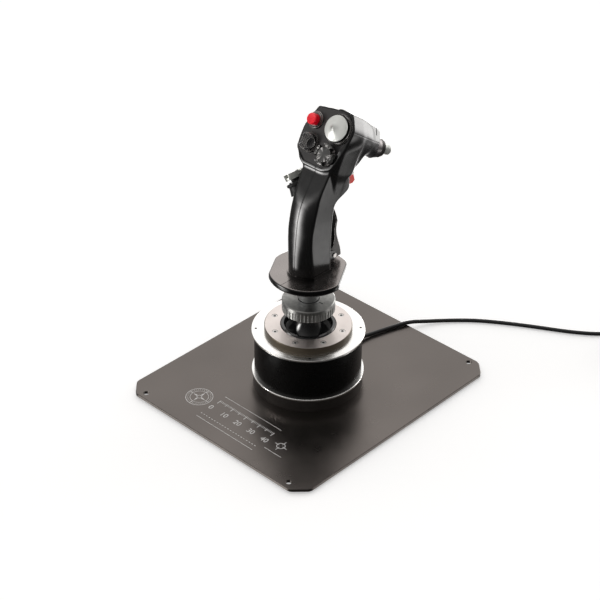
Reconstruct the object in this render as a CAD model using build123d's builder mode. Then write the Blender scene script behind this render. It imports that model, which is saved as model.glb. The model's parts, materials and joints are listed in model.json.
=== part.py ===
from build123d import *
import math
import os

# Flight joystick: a hand grip on a sprung gimbal in a round base, bolted to a wide plate.
# Millimetres, +Z up, +Y away from the pilot. The origin is the middle of the plate, on the table.

os.makedirs("parts", exist_ok=True)

# ---------------------------------------------------------------- driving dimensions
PLATE_X = 228.8
PLATE_Y = 265.9
PLATE_THICK = 3.0
PLATE_CLIP = 13.5
PAD_HEIGHT = 2.0
HOLE_SPAN_X = 187.4
HOLE_SPAN_Y = 252.0
HOLE_R = 2.9
PLATE_TOP = PAD_HEIGHT + PLATE_THICK

STICK_Y = -2.75  # the stick's axis stands a little behind the plate's middle
SKIRT_R = 52.3
BAND_R = 53.5
HOUSING_R = 51.0
HOUSING_BORE = 47.2
COVER_R = 53.5
FLANGE_R = 41.4
SKIRT_TOP = PLATE_TOP + 12.5
BAND_TOP = SKIRT_TOP + 2.0
COVER_TOP = PLATE_TOP + 59.1
COVER_THICK = 2.0
HOUSING_TOP = COVER_TOP - COVER_THICK
FLANGE_TOP = COVER_TOP + 5.4
FLANGE_BORE = 26.5
COVER_SCREW_R = 49.3
FLANGE_SCREW_R = 34.0
BOLT_CIRCLE_R = 40.0

BALL_R = 30.0
SOCKET_R = 30.4
PIVOT_Z = FLANGE_TOP - math.sqrt(SOCKET_R**2 - FLANGE_BORE**2)
CAVITY_R = 18.5
CROSS_PIN_R = 2.5
BUSH_R = 3.4
ARM_IN = 8.5
ARM_OUT = 12.5
EAR_IN = 9.5

COLLAR_R = 24.9
COLLAR_BOTTOM = PLATE_TOP + 81.0
COLLAR_TOP = PLATE_TOP + 93.3
REST_R = 37.8
REST_WIDTH = 67.0  # between the hand rest's two flats
REST_TURN = 31.0  # the hand rest is clamped at this angle to the grip
REST_BOTTOM = PLATE_TOP + 117.5
REST_TOP = PLATE_TOP + 124.5
GRIP_FOOT = PLATE_TOP + 127.0
WALL = 2.5

FACE_TILT = 34.0  # the head's face leans back from the upright by this angle
HEAD_X = 8.0
HEAD_Y = 29.2 + STICK_Y
HEAD_Z = 260.6 + PLATE_TOP
SEAM_UP = 2.2

NOSE = 54.0  # depth of the nose's end behind the face
NOSE_SHIFT = (0.3, -3.3)
NOSE_TURN = 17.0
NOSE_RISE = 8.0

CORD_R = 2.0
CORD_X = -8.0
CORD_Z = PLATE_TOP + 6.5

UP = (0, math.sin(math.radians(FACE_TILT)), math.cos(math.radians(FACE_TILT)))
OUT = (0, -math.cos(math.radians(FACE_TILT)), math.sin(math.radians(FACE_TILT)))
STICK_AXIS = Axis((0, STICK_Y, 0), (0, 0, 1))
RADIAL = Plane(origin=(0, STICK_Y, 0), x_dir=(1, 0, 0), z_dir=(0, -1, 0))


def level(height):
    """Horizontal plane centred on the stick's axis."""
    return Plane(origin=(0, STICK_Y, height))


def side(x):
    """Upright plane at x: its own x runs along +Y from the stick's axis, its own y runs up from the plate's top."""
    return Plane(origin=(x, STICK_Y, PLATE_TOP), x_dir=(0, 1, 0), z_dir=(1, 0, 0))


def face(height, a=0.0, up=0.0):
    """Plane parallel to the head's face, height out of it, centred at (a, up) from the trim hat's middle."""
    origin = Vector(HEAD_X, HEAD_Y, HEAD_Z) + Vector(*OUT) * height + Vector(1, 0, 0) * a + Vector(*UP) * up
    return Plane(origin=origin, x_dir=(1, 0, 0), z_dir=OUT)


def nose(height):
    """Plane across the end of the head's nose; it is turned and raised a little from the barrel's own line."""
    turn, rise = math.radians(NOSE_TURN), math.radians(NOSE_RISE)
    ahead = (Vector(*OUT) * -math.cos(turn) + Vector(math.sin(turn), 0, 0)) * math.cos(rise)
    ahead = ahead + Vector(*UP) * math.sin(rise)
    across = Vector(*UP).cross(ahead).normalized()
    return Plane(origin=face(-NOSE, *NOSE_SHIFT).origin - ahead * height, x_dir=across, z_dir=-ahead)


def save(piece, name):
    """Labels a finished piece and writes its STEP file."""
    piece.part.label = name
    export_step(piece.part, f"parts/{name}.step")


# ---------------------------------------------------------------- plate and base
with BuildPart() as base_plate:
    with BuildSketch(Plane.XY.offset(PAD_HEIGHT)) as plate_outline:
        Rectangle(PLATE_X, PLATE_Y)
        chamfer(plate_outline.vertices(), PLATE_CLIP)
        fillet(plate_outline.vertices(), 8)
    extrude(amount=PLATE_THICK)
    chamfer(base_plate.faces().sort_by(Axis.Z)[-1].edges(), 0.4)
    with GridLocations(HOLE_SPAN_X, HOLE_SPAN_Y, 2, 2):
        Hole(HOLE_R)
    with Locations((0, STICK_Y, PAD_HEIGHT + 1.1)):
        with PolarLocations(BOLT_CIRCLE_R, 4, start_angle=45):
            Hole(2.1)
            Cone(4.2, 2.1, 2.2, mode=Mode.SUBTRACT)
save(base_plate, "base_plate")

with BuildPart() as plate_feet:
    with BuildSketch(Plane.XY):
        with GridLocations(190, 105, 2, 3):
            Circle(8)
    extrude(amount=PAD_HEIGHT)
save(plate_feet, "plate_feet")

with BuildPart() as base_skirt:
    with BuildSketch(level(PLATE_TOP)):
        Circle(SKIRT_R)
    extrude(amount=SKIRT_TOP - PLATE_TOP)
    with BuildSketch(level(PLATE_TOP + 3)):
        Circle(SKIRT_R - 3.3)
    extrude(amount=SKIRT_TOP - PLATE_TOP, mode=Mode.SUBTRACT)
    with BuildSketch(level(PLATE_TOP + 3)):
        with PolarLocations(BOLT_CIRCLE_R, 4, start_angle=45):
            Circle(4.5)
        with PolarLocations(39, 3, start_angle=240, angular_range=60, endpoint=True):
            Circle(2.6)
    extrude(amount=4)
    with Locations((0, STICK_Y, PLATE_TOP)):
        with PolarLocations(BOLT_CIRCLE_R, 4, start_angle=45):
            Hole(2.0)
        with PolarLocations(39, 3, start_angle=240, angular_range=60, endpoint=True):
            Hole(1.0)
        with PolarLocations(12.5, 4, start_angle=45):
            Hole(1.5)
    with BuildSketch(Plane(origin=(CORD_X, STICK_Y + 40, CORD_Z), z_dir=(0, 1, 0))):
        Circle(3.2)
    extrude(amount=20, mode=Mode.SUBTRACT)
save(base_skirt, "base_skirt")

with BuildPart() as trim_band:
    with BuildSketch(level(SKIRT_TOP)):
        Circle(BAND_R)
        Circle(HOUSING_BORE, mode=Mode.SUBTRACT)
    extrude(amount=BAND_TOP - SKIRT_TOP)
    fillet(trim_band.edges().filter_by(GeomType.CIRCLE).group_by(SortBy.RADIUS)[-1], 0.5)
save(trim_band, "trim_band")

with BuildPart() as base_housing:
    with BuildSketch(level(BAND_TOP)):
        Circle(HOUSING_R)
        Circle(HOUSING_BORE, mode=Mode.SUBTRACT)
    extrude(amount=HOUSING_TOP - BAND_TOP)
    with BuildSketch(level(HOUSING_TOP)):
        with PolarLocations(COVER_SCREW_R, 4, start_angle=45):
            Circle(0.75)
    extrude(amount=-8, mode=Mode.SUBTRACT)
save(base_housing, "base_housing")

with BuildPart() as top_cover:
    with BuildSketch(level(HOUSING_TOP)):
        Circle(COVER_R)
        Circle(SOCKET_R + 0.4, mode=Mode.SUBTRACT)
    extrude(amount=COVER_THICK)
    chamfer(top_cover.edges().filter_by(GeomType.CIRCLE).group_by(SortBy.RADIUS)[-1], 0.3)
    with BuildSketch(level(HOUSING_TOP)):
        Circle(HOUSING_BORE - 0.2)
        Circle(HOUSING_BORE - 3.2, mode=Mode.SUBTRACT)
        Circle(38)
        Circle(SOCKET_R + 0.4, mode=Mode.SUBTRACT)
    extrude(amount=-3.5)
    with BuildSketch(level(COVER_TOP)):
        with PolarLocations(COVER_SCREW_R, 4, start_angle=45):
            Circle(1.15)
    extrude(amount=-0.9, mode=Mode.SUBTRACT)
    with Locations((0, STICK_Y, HOUSING_TOP)):
        with PolarLocations(COVER_SCREW_R, 4, start_angle=45):
            Hole(0.75)
        with PolarLocations(FLANGE_SCREW_R, 8, start_angle=22.5):
            Hole(1.25)
save(top_cover, "top_cover")

with BuildPart() as cover_screws:
    with BuildSketch(level(COVER_TOP - 0.9)):
        with PolarLocations(COVER_SCREW_R, 4, start_angle=45):
            Circle(1.05)
    extrude(amount=0.7)
    with BuildSketch(level(COVER_TOP - 0.9)):
        with PolarLocations(COVER_SCREW_R, 4, start_angle=45):
            Circle(0.75)
    extrude(amount=-8)
    with BuildSketch(level(COVER_TOP)):
        with PolarLocations(COVER_SCREW_R, 4, start_angle=45):
            RegularPolygon(0.55, 6)
    extrude(amount=-0.7, mode=Mode.SUBTRACT)
save(cover_screws, "cover_screws")

with BuildPart() as gimbal_flange:
    with BuildSketch(RADIAL):
        with BuildLine():
            low_r = math.sqrt(SOCKET_R**2 - (COVER_TOP - PIVOT_Z) ** 2)
            mid_h = (COVER_TOP + FLANGE_TOP) / 2 - PIVOT_Z
            ThreePointArc(
                (FLANGE_BORE, FLANGE_TOP),
                (math.sqrt(SOCKET_R**2 - mid_h**2), PIVOT_Z + mid_h),
                (low_r, COVER_TOP),
            )
            Polyline((low_r, COVER_TOP), (FLANGE_R, COVER_TOP), (FLANGE_R, FLANGE_TOP), (FLANGE_BORE, FLANGE_TOP))
        make_face()
    revolve(axis=STICK_AXIS)
    fillet(gimbal_flange.edges().filter_by(GeomType.CIRCLE).group_by(Axis.Z)[-1].sort_by(SortBy.RADIUS)[-1], 0.7)
    with Locations((0, STICK_Y, FLANGE_TOP)):
        with PolarLocations(FLANGE_SCREW_R, 8, start_angle=22.5):
            CounterSinkHole(1.35, 2.8, 8, 90)
save(gimbal_flange, "gimbal_flange")

with BuildPart() as flange_screws:
    with Locations((0, STICK_Y, FLANGE_TOP - 0.2 - 0.7)):
        with PolarLocations(FLANGE_SCREW_R, 8, start_angle=22.5):
            Cone(1.2, 2.55, 1.35)
    with BuildSketch(level(FLANGE_TOP - 1.2)):
        with PolarLocations(FLANGE_SCREW_R, 8, start_angle=22.5):
            Circle(1.2)
    extrude(amount=-8)
    with BuildSketch(level(FLANGE_TOP)):
        with PolarLocations(FLANGE_SCREW_R, 8, start_angle=22.5):
            RegularPolygon(0.9, 6)
    extrude(amount=-1.2, mode=Mode.SUBTRACT)
save(flange_screws, "flange_screws")

with BuildPart() as housing_bolts:
    with Locations((0, STICK_Y, PAD_HEIGHT + 1.1)):
        with PolarLocations(BOLT_CIRCLE_R, 4, start_angle=45):
            Cone(4.0, 1.95, 2.0)
    with BuildSketch(level(PAD_HEIGHT + 2)):
        with PolarLocations(BOLT_CIRCLE_R, 4, start_angle=45):
            Circle(1.95)
    extrude(amount=9.8)
save(housing_bolts, "housing_bolts")

# ---------------------------------------------------------------- gimbal
with BuildPart() as gimbal_pedestal:
    with BuildSketch(level(PLATE_TOP + 3)):
        Circle(16)
    extrude(amount=4)
    with BuildSketch(level(PLATE_TOP + 7)):
        Circle(10)
    extrude(amount=22)
    with BuildSketch(level(PLATE_TOP + 29)):
        Circle(8)
    extrude(amount=PIVOT_Z - 12 - PLATE_TOP - 29)
    with BuildSketch(Plane(origin=(-ARM_OUT, STICK_Y, PIVOT_Z), x_dir=(0, 1, 0), z_dir=(1, 0, 0))):
        with Locations((0, -6.5)):
            Rectangle(9, 13)
        Circle(4.5)
    extrude(amount=2 * ARM_OUT)
    with BuildSketch(Plane(origin=(-ARM_IN, STICK_Y, PIVOT_Z), x_dir=(0, 1, 0), z_dir=(1, 0, 0))):
        Rectangle(20, 18)
    extrude(amount=2 * ARM_IN, mode=Mode.SUBTRACT)
    with BuildSketch(Plane(origin=(-ARM_OUT, STICK_Y, PIVOT_Z), x_dir=(0, 1, 0), z_dir=(1, 0, 0))):
        Circle(BUSH_R)
    extrude(amount=2 * ARM_OUT, mode=Mode.SUBTRACT)
    with Locations((0, STICK_Y, PLATE_TOP + 7)):
        with PolarLocations(12.5, 4, start_angle=45):
            Hole(1.6, depth=4)
save(gimbal_pedestal, "gimbal_pedestal")

with BuildPart() as pedestal_bushes:
    for start in (-ARM_OUT, ARM_IN):
        with BuildSketch(Plane(origin=(start, STICK_Y, PIVOT_Z), x_dir=(0, 1, 0), z_dir=(1, 0, 0))):
            Circle(BUSH_R)
            Circle(CROSS_PIN_R + 0.05, mode=Mode.SUBTRACT)
        extrude(amount=ARM_OUT - ARM_IN)
save(pedestal_bushes, "pedestal_bushes")

with BuildPart() as gimbal_cross:
    with Locations((0, STICK_Y, PIVOT_Z)):
        Box(14, 14, 10)
    fillet(gimbal_cross.edges().filter_by(Axis.Z), 2)
    with BuildSketch(Plane(origin=(-ARM_OUT, STICK_Y, PIVOT_Z), z_dir=(1, 0, 0))):
        Circle(CROSS_PIN_R)
    extrude(amount=2 * ARM_OUT)
    with BuildSketch(Plane(origin=(0, STICK_Y - 15, PIVOT_Z), z_dir=(0, 1, 0))):
        Circle(CROSS_PIN_R)
    extrude(amount=30)
save(gimbal_cross, "gimbal_cross")

with BuildPart() as spring_seat:
    with BuildSketch(level(PLATE_TOP + 3)):
        Circle(29.5)
        Circle(21.5, mode=Mode.SUBTRACT)
    extrude(amount=3.5)
    with BuildSketch(level(PLATE_TOP + 4.5)):
        Circle(27.8)
        Circle(22.2, mode=Mode.SUBTRACT)
    extrude(amount=2, mode=Mode.SUBTRACT)
save(spring_seat, "spring_seat")

SPRING_R = 25.0
SPRING_WIRE_R = 1.3
SPRING_LOW = PLATE_TOP + 4.5 + SPRING_WIRE_R
SPRING_HIGH = PIVOT_Z + 3 - 0.3 - SPRING_WIRE_R
SPRING_TURNS = 6.5
with BuildPart() as centring_spring:
    with BuildLine():
        spring_line = Helix(
            (SPRING_HIGH - SPRING_LOW) / SPRING_TURNS,
            SPRING_HIGH - SPRING_LOW,
            SPRING_R,
            center=(0, STICK_Y, SPRING_LOW),
        )
    with BuildSketch(Plane(origin=spring_line @ 0, z_dir=spring_line % 0)):
        Circle(SPRING_WIRE_R)
    sweep(path=spring_line, is_frenet=True)
save(centring_spring, "centring_spring")

# ---------------------------------------------------------------- boards and cord entry
with BuildPart() as sensor_board:
    with BuildSketch(level(PLATE_TOP + 29)):
        Circle(17)
        Circle(8.1, mode=Mode.SUBTRACT)
    extrude(amount=1.6)
    with BuildSketch(level(PLATE_TOP + 30.6)):
        with Locations((14, 0), (0, 14)):
            Rectangle(3.4, 3.4)
    extrude(amount=1.1)
save(sensor_board, "sensor_board")

with BuildPart() as main_board:
    with BuildSketch(level(PLATE_TOP + 7)):
        with BuildLine():
            board_in = 32.0
            board_out = 45.5
            inner = CenterArc((0, 0), board_in, 232, 76)
            outer = CenterArc((0, 0), board_out, 232, 76)
            Line(inner @ 0, outer @ 0)
            Line(inner @ 1, outer @ 1)
        make_face()
        with PolarLocations(39, 3, start_angle=240, angular_range=60, endpoint=True):
            Circle(1.1, mode=Mode.SUBTRACT)
    extrude(amount=1.6)
    with BuildSketch(level(PLATE_TOP + 8.6)):
        with PolarLocations(39, 2, start_angle=255, angular_range=30, endpoint=True):
            Rectangle(7, 7)
    extrude(amount=1.4)
save(main_board, "main_board")

with BuildPart() as board_screws:
    with BuildSketch(level(PLATE_TOP + 8.6)):
        with PolarLocations(39, 3, start_angle=240, angular_range=60, endpoint=True):
            Circle(1.9)
    extrude(amount=1.3)
    with BuildSketch(level(PLATE_TOP + 8.6)):
        with PolarLocations(39, 3, start_angle=240, angular_range=60, endpoint=True):
            Circle(0.95)
    extrude(amount=-6)
save(board_screws, "board_screws")

GLAND_FACE = 52.5
GLAND_END = 64.4
with BuildPart() as cable_gland:
    with BuildSketch(Plane(origin=(CORD_X, STICK_Y + 43, CORD_Z), z_dir=(0, 1, 0))):
        Circle(3.2)
    extrude(amount=GLAND_FACE - 43)
    with BuildSketch(Plane(origin=(CORD_X, STICK_Y + 43, CORD_Z), z_dir=(0, 1, 0))):
        RectangleRounded(6.8, 6.8, 0.5)
    extrude(amount=2.5)
    with BuildSketch(Plane(origin=(CORD_X, STICK_Y + GLAND_FACE, CORD_Z), z_dir=(0, 1, 0))):
        Circle(4.3)
    extrude(amount=2)
    with BuildSketch(Plane(origin=(CORD_X, STICK_Y + GLAND_FACE + 2, CORD_Z), z_dir=(0, 1, 0))) as boot_root:
        Circle(3.7)
    with BuildSketch(Plane(origin=(CORD_X, STICK_Y + GLAND_END, CORD_Z), z_dir=(0, 1, 0))) as boot_tip:
        Circle(2.7)
    loft(sections=[boot_root.sketch, boot_tip.sketch])
save(cable_gland, "cable_gland")

# The cord's route: out of the boot, down to the plate, over its back edge and along the table to the coil.
CORD_ROUTE = [
    (CORD_X, STICK_Y + GLAND_END, CORD_Z),
    (-7.5, 73.0, 10.2),
    (-5.2, 88.0, 7.6),
    (-1.0, 103.5, 7.4),
    (3.6, 119.0, 7.3),
    (9.4, 135.5, 7.6),
    (17.0, 152.0, 3.6),
    (30.0, 170.0, 2.2),
    (50.0, 190.0, 2.1),
    (76.0, 208.0, 2.2),
    (104.0, 225.0, 2.1),
    (133.0, 241.0, 2.2),
    (159.0, 259.0, 2.1),
    (180.0, 283.0, 2.2),
]


def bend_radii(points):
    """Radius of the arc at each inner point: 0.45 of the shorter run over the tangent of half the turn."""
    radii = []
    for before, here, after in zip(points, points[1:], points[2:]):
        run_in = Vector(*here) - Vector(*before)
        run_out = Vector(*after) - Vector(*here)
        turn = math.radians(run_in.get_angle(run_out))
        radii.append(0.45 * min(run_in.length, run_out.length) / math.tan(turn / 2))
    return radii


cord_radii = bend_radii(CORD_ROUTE)
print("cord radii", [round(r, 1) for r in cord_radii])
with BuildPart() as usb_cord:
    with BuildLine():
        cord_line = FilletPolyline(*CORD_ROUTE, radius=cord_radii)
    with BuildSketch(Plane(origin=cord_line @ 0, z_dir=cord_line % 0)):
        Circle(CORD_R)
    sweep(path=cord_line)
cord_section = math.pi * CORD_R**2
print("cord tube", usb_cord.part.volume, "section x length", cord_section * cord_line.length)
print("cord length along the route", cord_line.length)
save(usb_cord, "usb_cord")

COIL_MEAN_R = 24.0
COIL_BAND = 7.5
COIL_HEIGHT = 16.4
cord_end = cord_line @ 1
cord_way = cord_line % 1
COIL_X = cord_end.X + COIL_MEAN_R * cord_way.Y
COIL_Y = cord_end.Y - COIL_MEAN_R * cord_way.X
print("coil middle", COIL_X, COIL_Y)
with BuildPart() as cord_coil:
    with BuildSketch(Plane(origin=(COIL_X, COIL_Y, 0), x_dir=(1, 0, 0), z_dir=(0, -1, 0))):
        with Locations((COIL_MEAN_R, COIL_HEIGHT / 2)):
            RectangleRounded(2 * COIL_BAND, COIL_HEIGHT, 3)
    revolve(axis=Axis((COIL_X, COIL_Y, 0), (0, 0, 1)))
save(cord_coil, "cord_coil")

PLUG_X = COIL_X + COIL_MEAN_R
PLUG_Z = 4.3
PLUG_START = COIL_Y - math.sqrt((COIL_MEAN_R + COIL_BAND) ** 2 - COIL_MEAN_R**2) - 2.5
with BuildPart() as usb_plug:
    with BuildSketch(Plane(origin=(PLUG_X, PLUG_START, PLUG_Z), z_dir=(0, -1, 0))) as relief_root:
        Circle(2.4)
    with BuildSketch(Plane(origin=(PLUG_X, PLUG_START - 11, PLUG_Z), z_dir=(0, -1, 0))) as relief_tip:
        Circle(3.4)
    loft(sections=[relief_root.sketch, relief_tip.sketch])
    with BuildSketch(Plane(origin=(PLUG_X, PLUG_START - 11, PLUG_Z), x_dir=(1, 0, 0), z_dir=(0, -1, 0))):
        RectangleRounded(15, 8, 2)
    extrude(amount=26)
save(usb_plug, "usb_plug")

with BuildPart() as plug_shell:
    with BuildSketch(Plane(origin=(PLUG_X, PLUG_START - 37, PLUG_Z), x_dir=(1, 0, 0), z_dir=(0, -1, 0))):
        Rectangle(12, 4.5)
    extrude(amount=12)
    with BuildSketch(Plane(origin=(PLUG_X, PLUG_START - 49, PLUG_Z), x_dir=(1, 0, 0), z_dir=(0, -1, 0))):
        with Locations((0, 0.9)):
            Rectangle(11.2, 1.9)
    extrude(amount=-8, mode=Mode.SUBTRACT)
save(plug_shell, "plug_shell")

# ---------------------------------------------------------------- ball, stem and collar
with BuildPart() as ball_cup:
    with BuildSketch(RADIAL):
        with BuildLine():
            rim_h = 15.8
            hem_h = -6.0
            bore = 9.0
            rim_r = math.sqrt(BALL_R**2 - rim_h**2)
            hem_r = math.sqrt(BALL_R**2 - hem_h**2)
            cavity_hem = math.sqrt(CAVITY_R**2 - hem_h**2)
            cavity_top = math.sqrt(CAVITY_R**2 - bore**2)
            ThreePointArc((rim_r, PIVOT_Z + rim_h), (BALL_R, PIVOT_Z), (hem_r, PIVOT_Z + hem_h))
            Polyline(
                (hem_r, PIVOT_Z + hem_h),
                (27.8, PIVOT_Z + hem_h),
                (27.8, PIVOT_Z + 3),
                (22.8, PIVOT_Z + 3),
                (22.8, PIVOT_Z + hem_h),
                (cavity_hem, PIVOT_Z + hem_h),
            )
            ThreePointArc((cavity_hem, PIVOT_Z + hem_h), (CAVITY_R, PIVOT_Z), (bore, PIVOT_Z + cavity_top))
            Polyline((bore, PIVOT_Z + cavity_top), (bore, PIVOT_Z + 28.1), (11.2, PIVOT_Z + 28.1))
            Spline(
                (11.2, PIVOT_Z + 28.1),
                (11.9, PIVOT_Z + 21.5),
                (14.2, PIVOT_Z + 15.0),
                (18.6, PIVOT_Z + 9.0),
            )
            Polyline(
                (18.6, PIVOT_Z + 9.0),
                (21.2, PIVOT_Z + 6.9),
                (22.6, PIVOT_Z + 9.0),
                (23.1, PIVOT_Z + rim_h),
                (rim_r, PIVOT_Z + rim_h),
            )
        make_face()
    revolve(axis=STICK_AXIS)
    fillet(ball_cup.edges().filter_by(GeomType.CIRCLE).group_by(Axis.Z)[-2], 0.8)
    for way in (-1, 1):
        with BuildSketch(Plane(origin=(0, STICK_Y + way * EAR_IN, PIVOT_Z), x_dir=(1, 0, 0), z_dir=(0, way, 0))):
            Circle(4.6)
        extrude(amount=19 - EAR_IN)
        with BuildSketch(Plane(origin=(0, STICK_Y + way * EAR_IN, PIVOT_Z), x_dir=(1, 0, 0), z_dir=(0, way, 0))):
            Circle(BUSH_R)
        extrude(amount=5, mode=Mode.SUBTRACT)
        with BuildSketch(Plane(origin=(0, STICK_Y + way * EAR_IN, PIVOT_Z), x_dir=(1, 0, 0), z_dir=(0, way, 0))):
            Circle(CROSS_PIN_R + 0.3)
        extrude(amount=6.5, mode=Mode.SUBTRACT)
    with BuildSketch(level(PIVOT_Z + hem_h)):
        with Locations((20.2, 0), (0, 20.2)):
            Circle(1.2)
    extrude(amount=3, mode=Mode.SUBTRACT)
save(ball_cup, "ball_cup")

with BuildPart() as sensor_magnets:
    with BuildSketch(level(PIVOT_Z - 6)):
        with Locations((20.2, 0), (0, 20.2)):
            Circle(1.2)
    extrude(amount=3)
save(sensor_magnets, "sensor_magnets")

with BuildPart() as ear_bushes:
    for way in (-1, 1):
        with BuildSketch(Plane(origin=(0, STICK_Y + way * EAR_IN, PIVOT_Z), x_dir=(1, 0, 0), z_dir=(0, way, 0))):
            Circle(BUSH_R)
            Circle(CROSS_PIN_R + 0.05, mode=Mode.SUBTRACT)
        extrude(amount=5)
save(ear_bushes, "ear_bushes")

STEM_LEDGE = PIVOT_Z + 28.1
STEM_TOP = COLLAR_BOTTOM + 5.0
with BuildPart() as stem:
    with BuildSketch(level(PIVOT_Z + 16.8)):
        Circle(9)
    extrude(amount=STEM_LEDGE - PIVOT_Z - 16.8)
    with BuildSketch(level(STEM_LEDGE)):
        Circle(10.8)
    extrude(amount=COLLAR_BOTTOM + 0.3 - STEM_LEDGE)
    with BuildSketch(level(COLLAR_BOTTOM + 0.3)):
        Circle(18)
    extrude(amount=STEM_TOP - COLLAR_BOTTOM - 0.3)
    with BuildSketch(level(PIVOT_Z + 10)):
        Circle(6)
    extrude(amount=50, mode=Mode.SUBTRACT)
    with BuildSketch(level(STEM_TOP)):
        Circle(7.5)
    extrude(amount=-4, mode=Mode.SUBTRACT)
save(stem, "stem")

with BuildPart() as stem_socket:
    with BuildSketch(level(STEM_TOP - 4)):
        Circle(7.5)
    extrude(amount=4)
    with BuildSketch(level(STEM_TOP)):
        with PolarLocations(4.2, 5, start_angle=18):
            Circle(0.6)
    extrude(amount=-3.4, mode=Mode.SUBTRACT)
save(stem_socket, "stem_socket")

with BuildPart() as grip_spigot:
    with BuildSketch(level(STEM_TOP)):
        Circle(17.9)
    extrude(amount=4)
    with BuildSketch(level(STEM_TOP + 4)):
        Circle(9.8)
    extrude(amount=GRIP_FOOT + 4 - STEM_TOP - 4)
    with BuildSketch(level(STEM_TOP)):
        Circle(6)
    extrude(amount=60, mode=Mode.SUBTRACT)
    with BuildSketch(level(STEM_TOP)):
        Circle(7.4)
    extrude(amount=6, mode=Mode.SUBTRACT)
save(grip_spigot, "grip_spigot")

with BuildPart() as grip_plug:
    with BuildSketch(level(STEM_TOP + 0.2)):
        Circle(7.4)
    extrude(amount=5.8)
    with BuildSketch(level(STEM_TOP + 0.2)):
        with PolarLocations(4.2, 5, start_angle=18):
            Circle(0.5)
    extrude(amount=-3)
save(grip_plug, "grip_plug")

FLUTES = 44
with BuildPart() as lock_collar:
    with BuildSketch(level(COLLAR_BOTTOM)):
        Circle(COLLAR_R)
        Circle(18.3, mode=Mode.SUBTRACT)
    extrude(amount=COLLAR_TOP - COLLAR_BOTTOM)
    with BuildSketch(level(STEM_TOP + 4.3)):
        Circle(20)
        Circle(10.3, mode=Mode.SUBTRACT)
    extrude(amount=COLLAR_TOP - STEM_TOP - 4.3)
    chamfer(lock_collar.edges().filter_by(GeomType.CIRCLE).group_by(SortBy.RADIUS)[-1], 0.8)
    with BuildSketch(level(COLLAR_BOTTOM)):
        with PolarLocations(COLLAR_R + 0.5, FLUTES):
            Circle(1.05)
    extrude(amount=8.4, mode=Mode.SUBTRACT)
    with BuildSketch(level(COLLAR_TOP)):
        with PolarLocations(14.5, 1, start_angle=5):
            SlotOverall(4.5, 1.3)
    extrude(amount=-0.6, mode=Mode.SUBTRACT)
save(lock_collar, "lock_collar")


# ---------------------------------------------------------------- hand rest and grip
def column_outline(half, back, corner, shoulder, front, grow=0.0):
    """Section of the grip's column: round back, flat sides and round front, drawn from the stick's axis."""
    with BuildSketch() as outline:
        with BuildLine():
            w = half + grow
            ThreePointArc((-w, corner), (0, back - grow), (w, corner))
            Line((w, corner), (w, shoulder))
            ThreePointArc((w, shoulder), (0, front + grow), (-w, shoulder))
            Line((-w, shoulder), (-w, corner))
        make_face()
    return outline.sketch


# height over the plate, half width, back, corner, shoulder, front
COLUMN = [
    (127.0, 15.3, -20.0, -10.5, 12.5, 18.3),
    (150.0, 15.4, -19.4, -12.6, 12.5, 18.0),
    (171.0, 15.6, -17.6, -13.0, 12.8, 18.4),
    (183.0, 15.8, -15.6, -11.2, 14.0, 20.0),
]
PALM = [
    (183.0, 15.8, -15.6, -11.2, 14.0, 20.0),
    (193.5, 16.0, -12.7, -8.3, 16.2, 22.4),
    (198.5, 16.0, -10.8, -6.8, 25.5, 31.0),
    (203.0, 16.0, -8.8, -5.6, 34.2, 39.6),
    (212.0, 16.0, -4.6, -2.0, 34.6, 40.0),
    (226.0, 16.0, 5.0, 6.4, 36.0, 43.0),
    (238.0, 16.0, 15.5, 16.0, 38.0, 44.0),
]

FACE_OUTLINE = [
    (14.5, -1.0),
    (13.6, 4.6),
    (6.8, 14.6),
    (-4.0, 16.0),
    (-31.0, 11.5),
    (-38.0, -9.0),
    (-36.5, -28.0),
    (-24.0, -38.0),
    (-1.0, -38.0),
    (6.5, -34.0),
]


def head_outline(grow, squeeze=1.0, middle=(0.0, 0.0), rounding=4.0):
    """The head's face outline, squeezed about a middle point and then grown."""
    mx, my = middle
    with BuildSketch() as outline:
        with BuildLine():
            Polyline([(mx + (x - mx) * squeeze, my + (y - my) * squeeze) for x, y in FACE_OUTLINE], close=True)
        make_face()
        fillet(outline.vertices(), rounding)
        offset(amount=grow, kind=Kind.ARC)
    return outline.sketch


with BuildPart() as hand_rest:
    with BuildSketch(level(REST_BOTTOM)) as rest_outline:
        Circle(REST_R)
        with Locations(Location((0, 0, 0), (0, 0, REST_TURN)) * Location((-1.5, 0, 0))):
            Rectangle(REST_WIDTH, 2 * REST_R + 10, mode=Mode.INTERSECT)
        fillet(rest_outline.vertices(), 11)
    extrude(amount=REST_TOP - REST_BOTTOM)
    fillet(hand_rest.faces().sort_by(Axis.Z)[-1].edges(), 1.6)
    fillet(hand_rest.faces().sort_by(Axis.Z)[0].edges(), 3.2)
    with BuildSketch(level(REST_TOP)):
        add(column_outline(*COLUMN[0][1:], grow=1.4))
    extrude(amount=GRIP_FOOT - REST_TOP)
    with BuildSketch(level(REST_BOTTOM)):
        Circle(9.8)
    extrude(amount=20, mode=Mode.SUBTRACT)
    with BuildSketch(level(REST_TOP)):
        with Locations((0, -32)):
            Rectangle(0.5, 20)
    extrude(amount=-0.5, mode=Mode.SUBTRACT)
save(hand_rest, "hand_rest")

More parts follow.
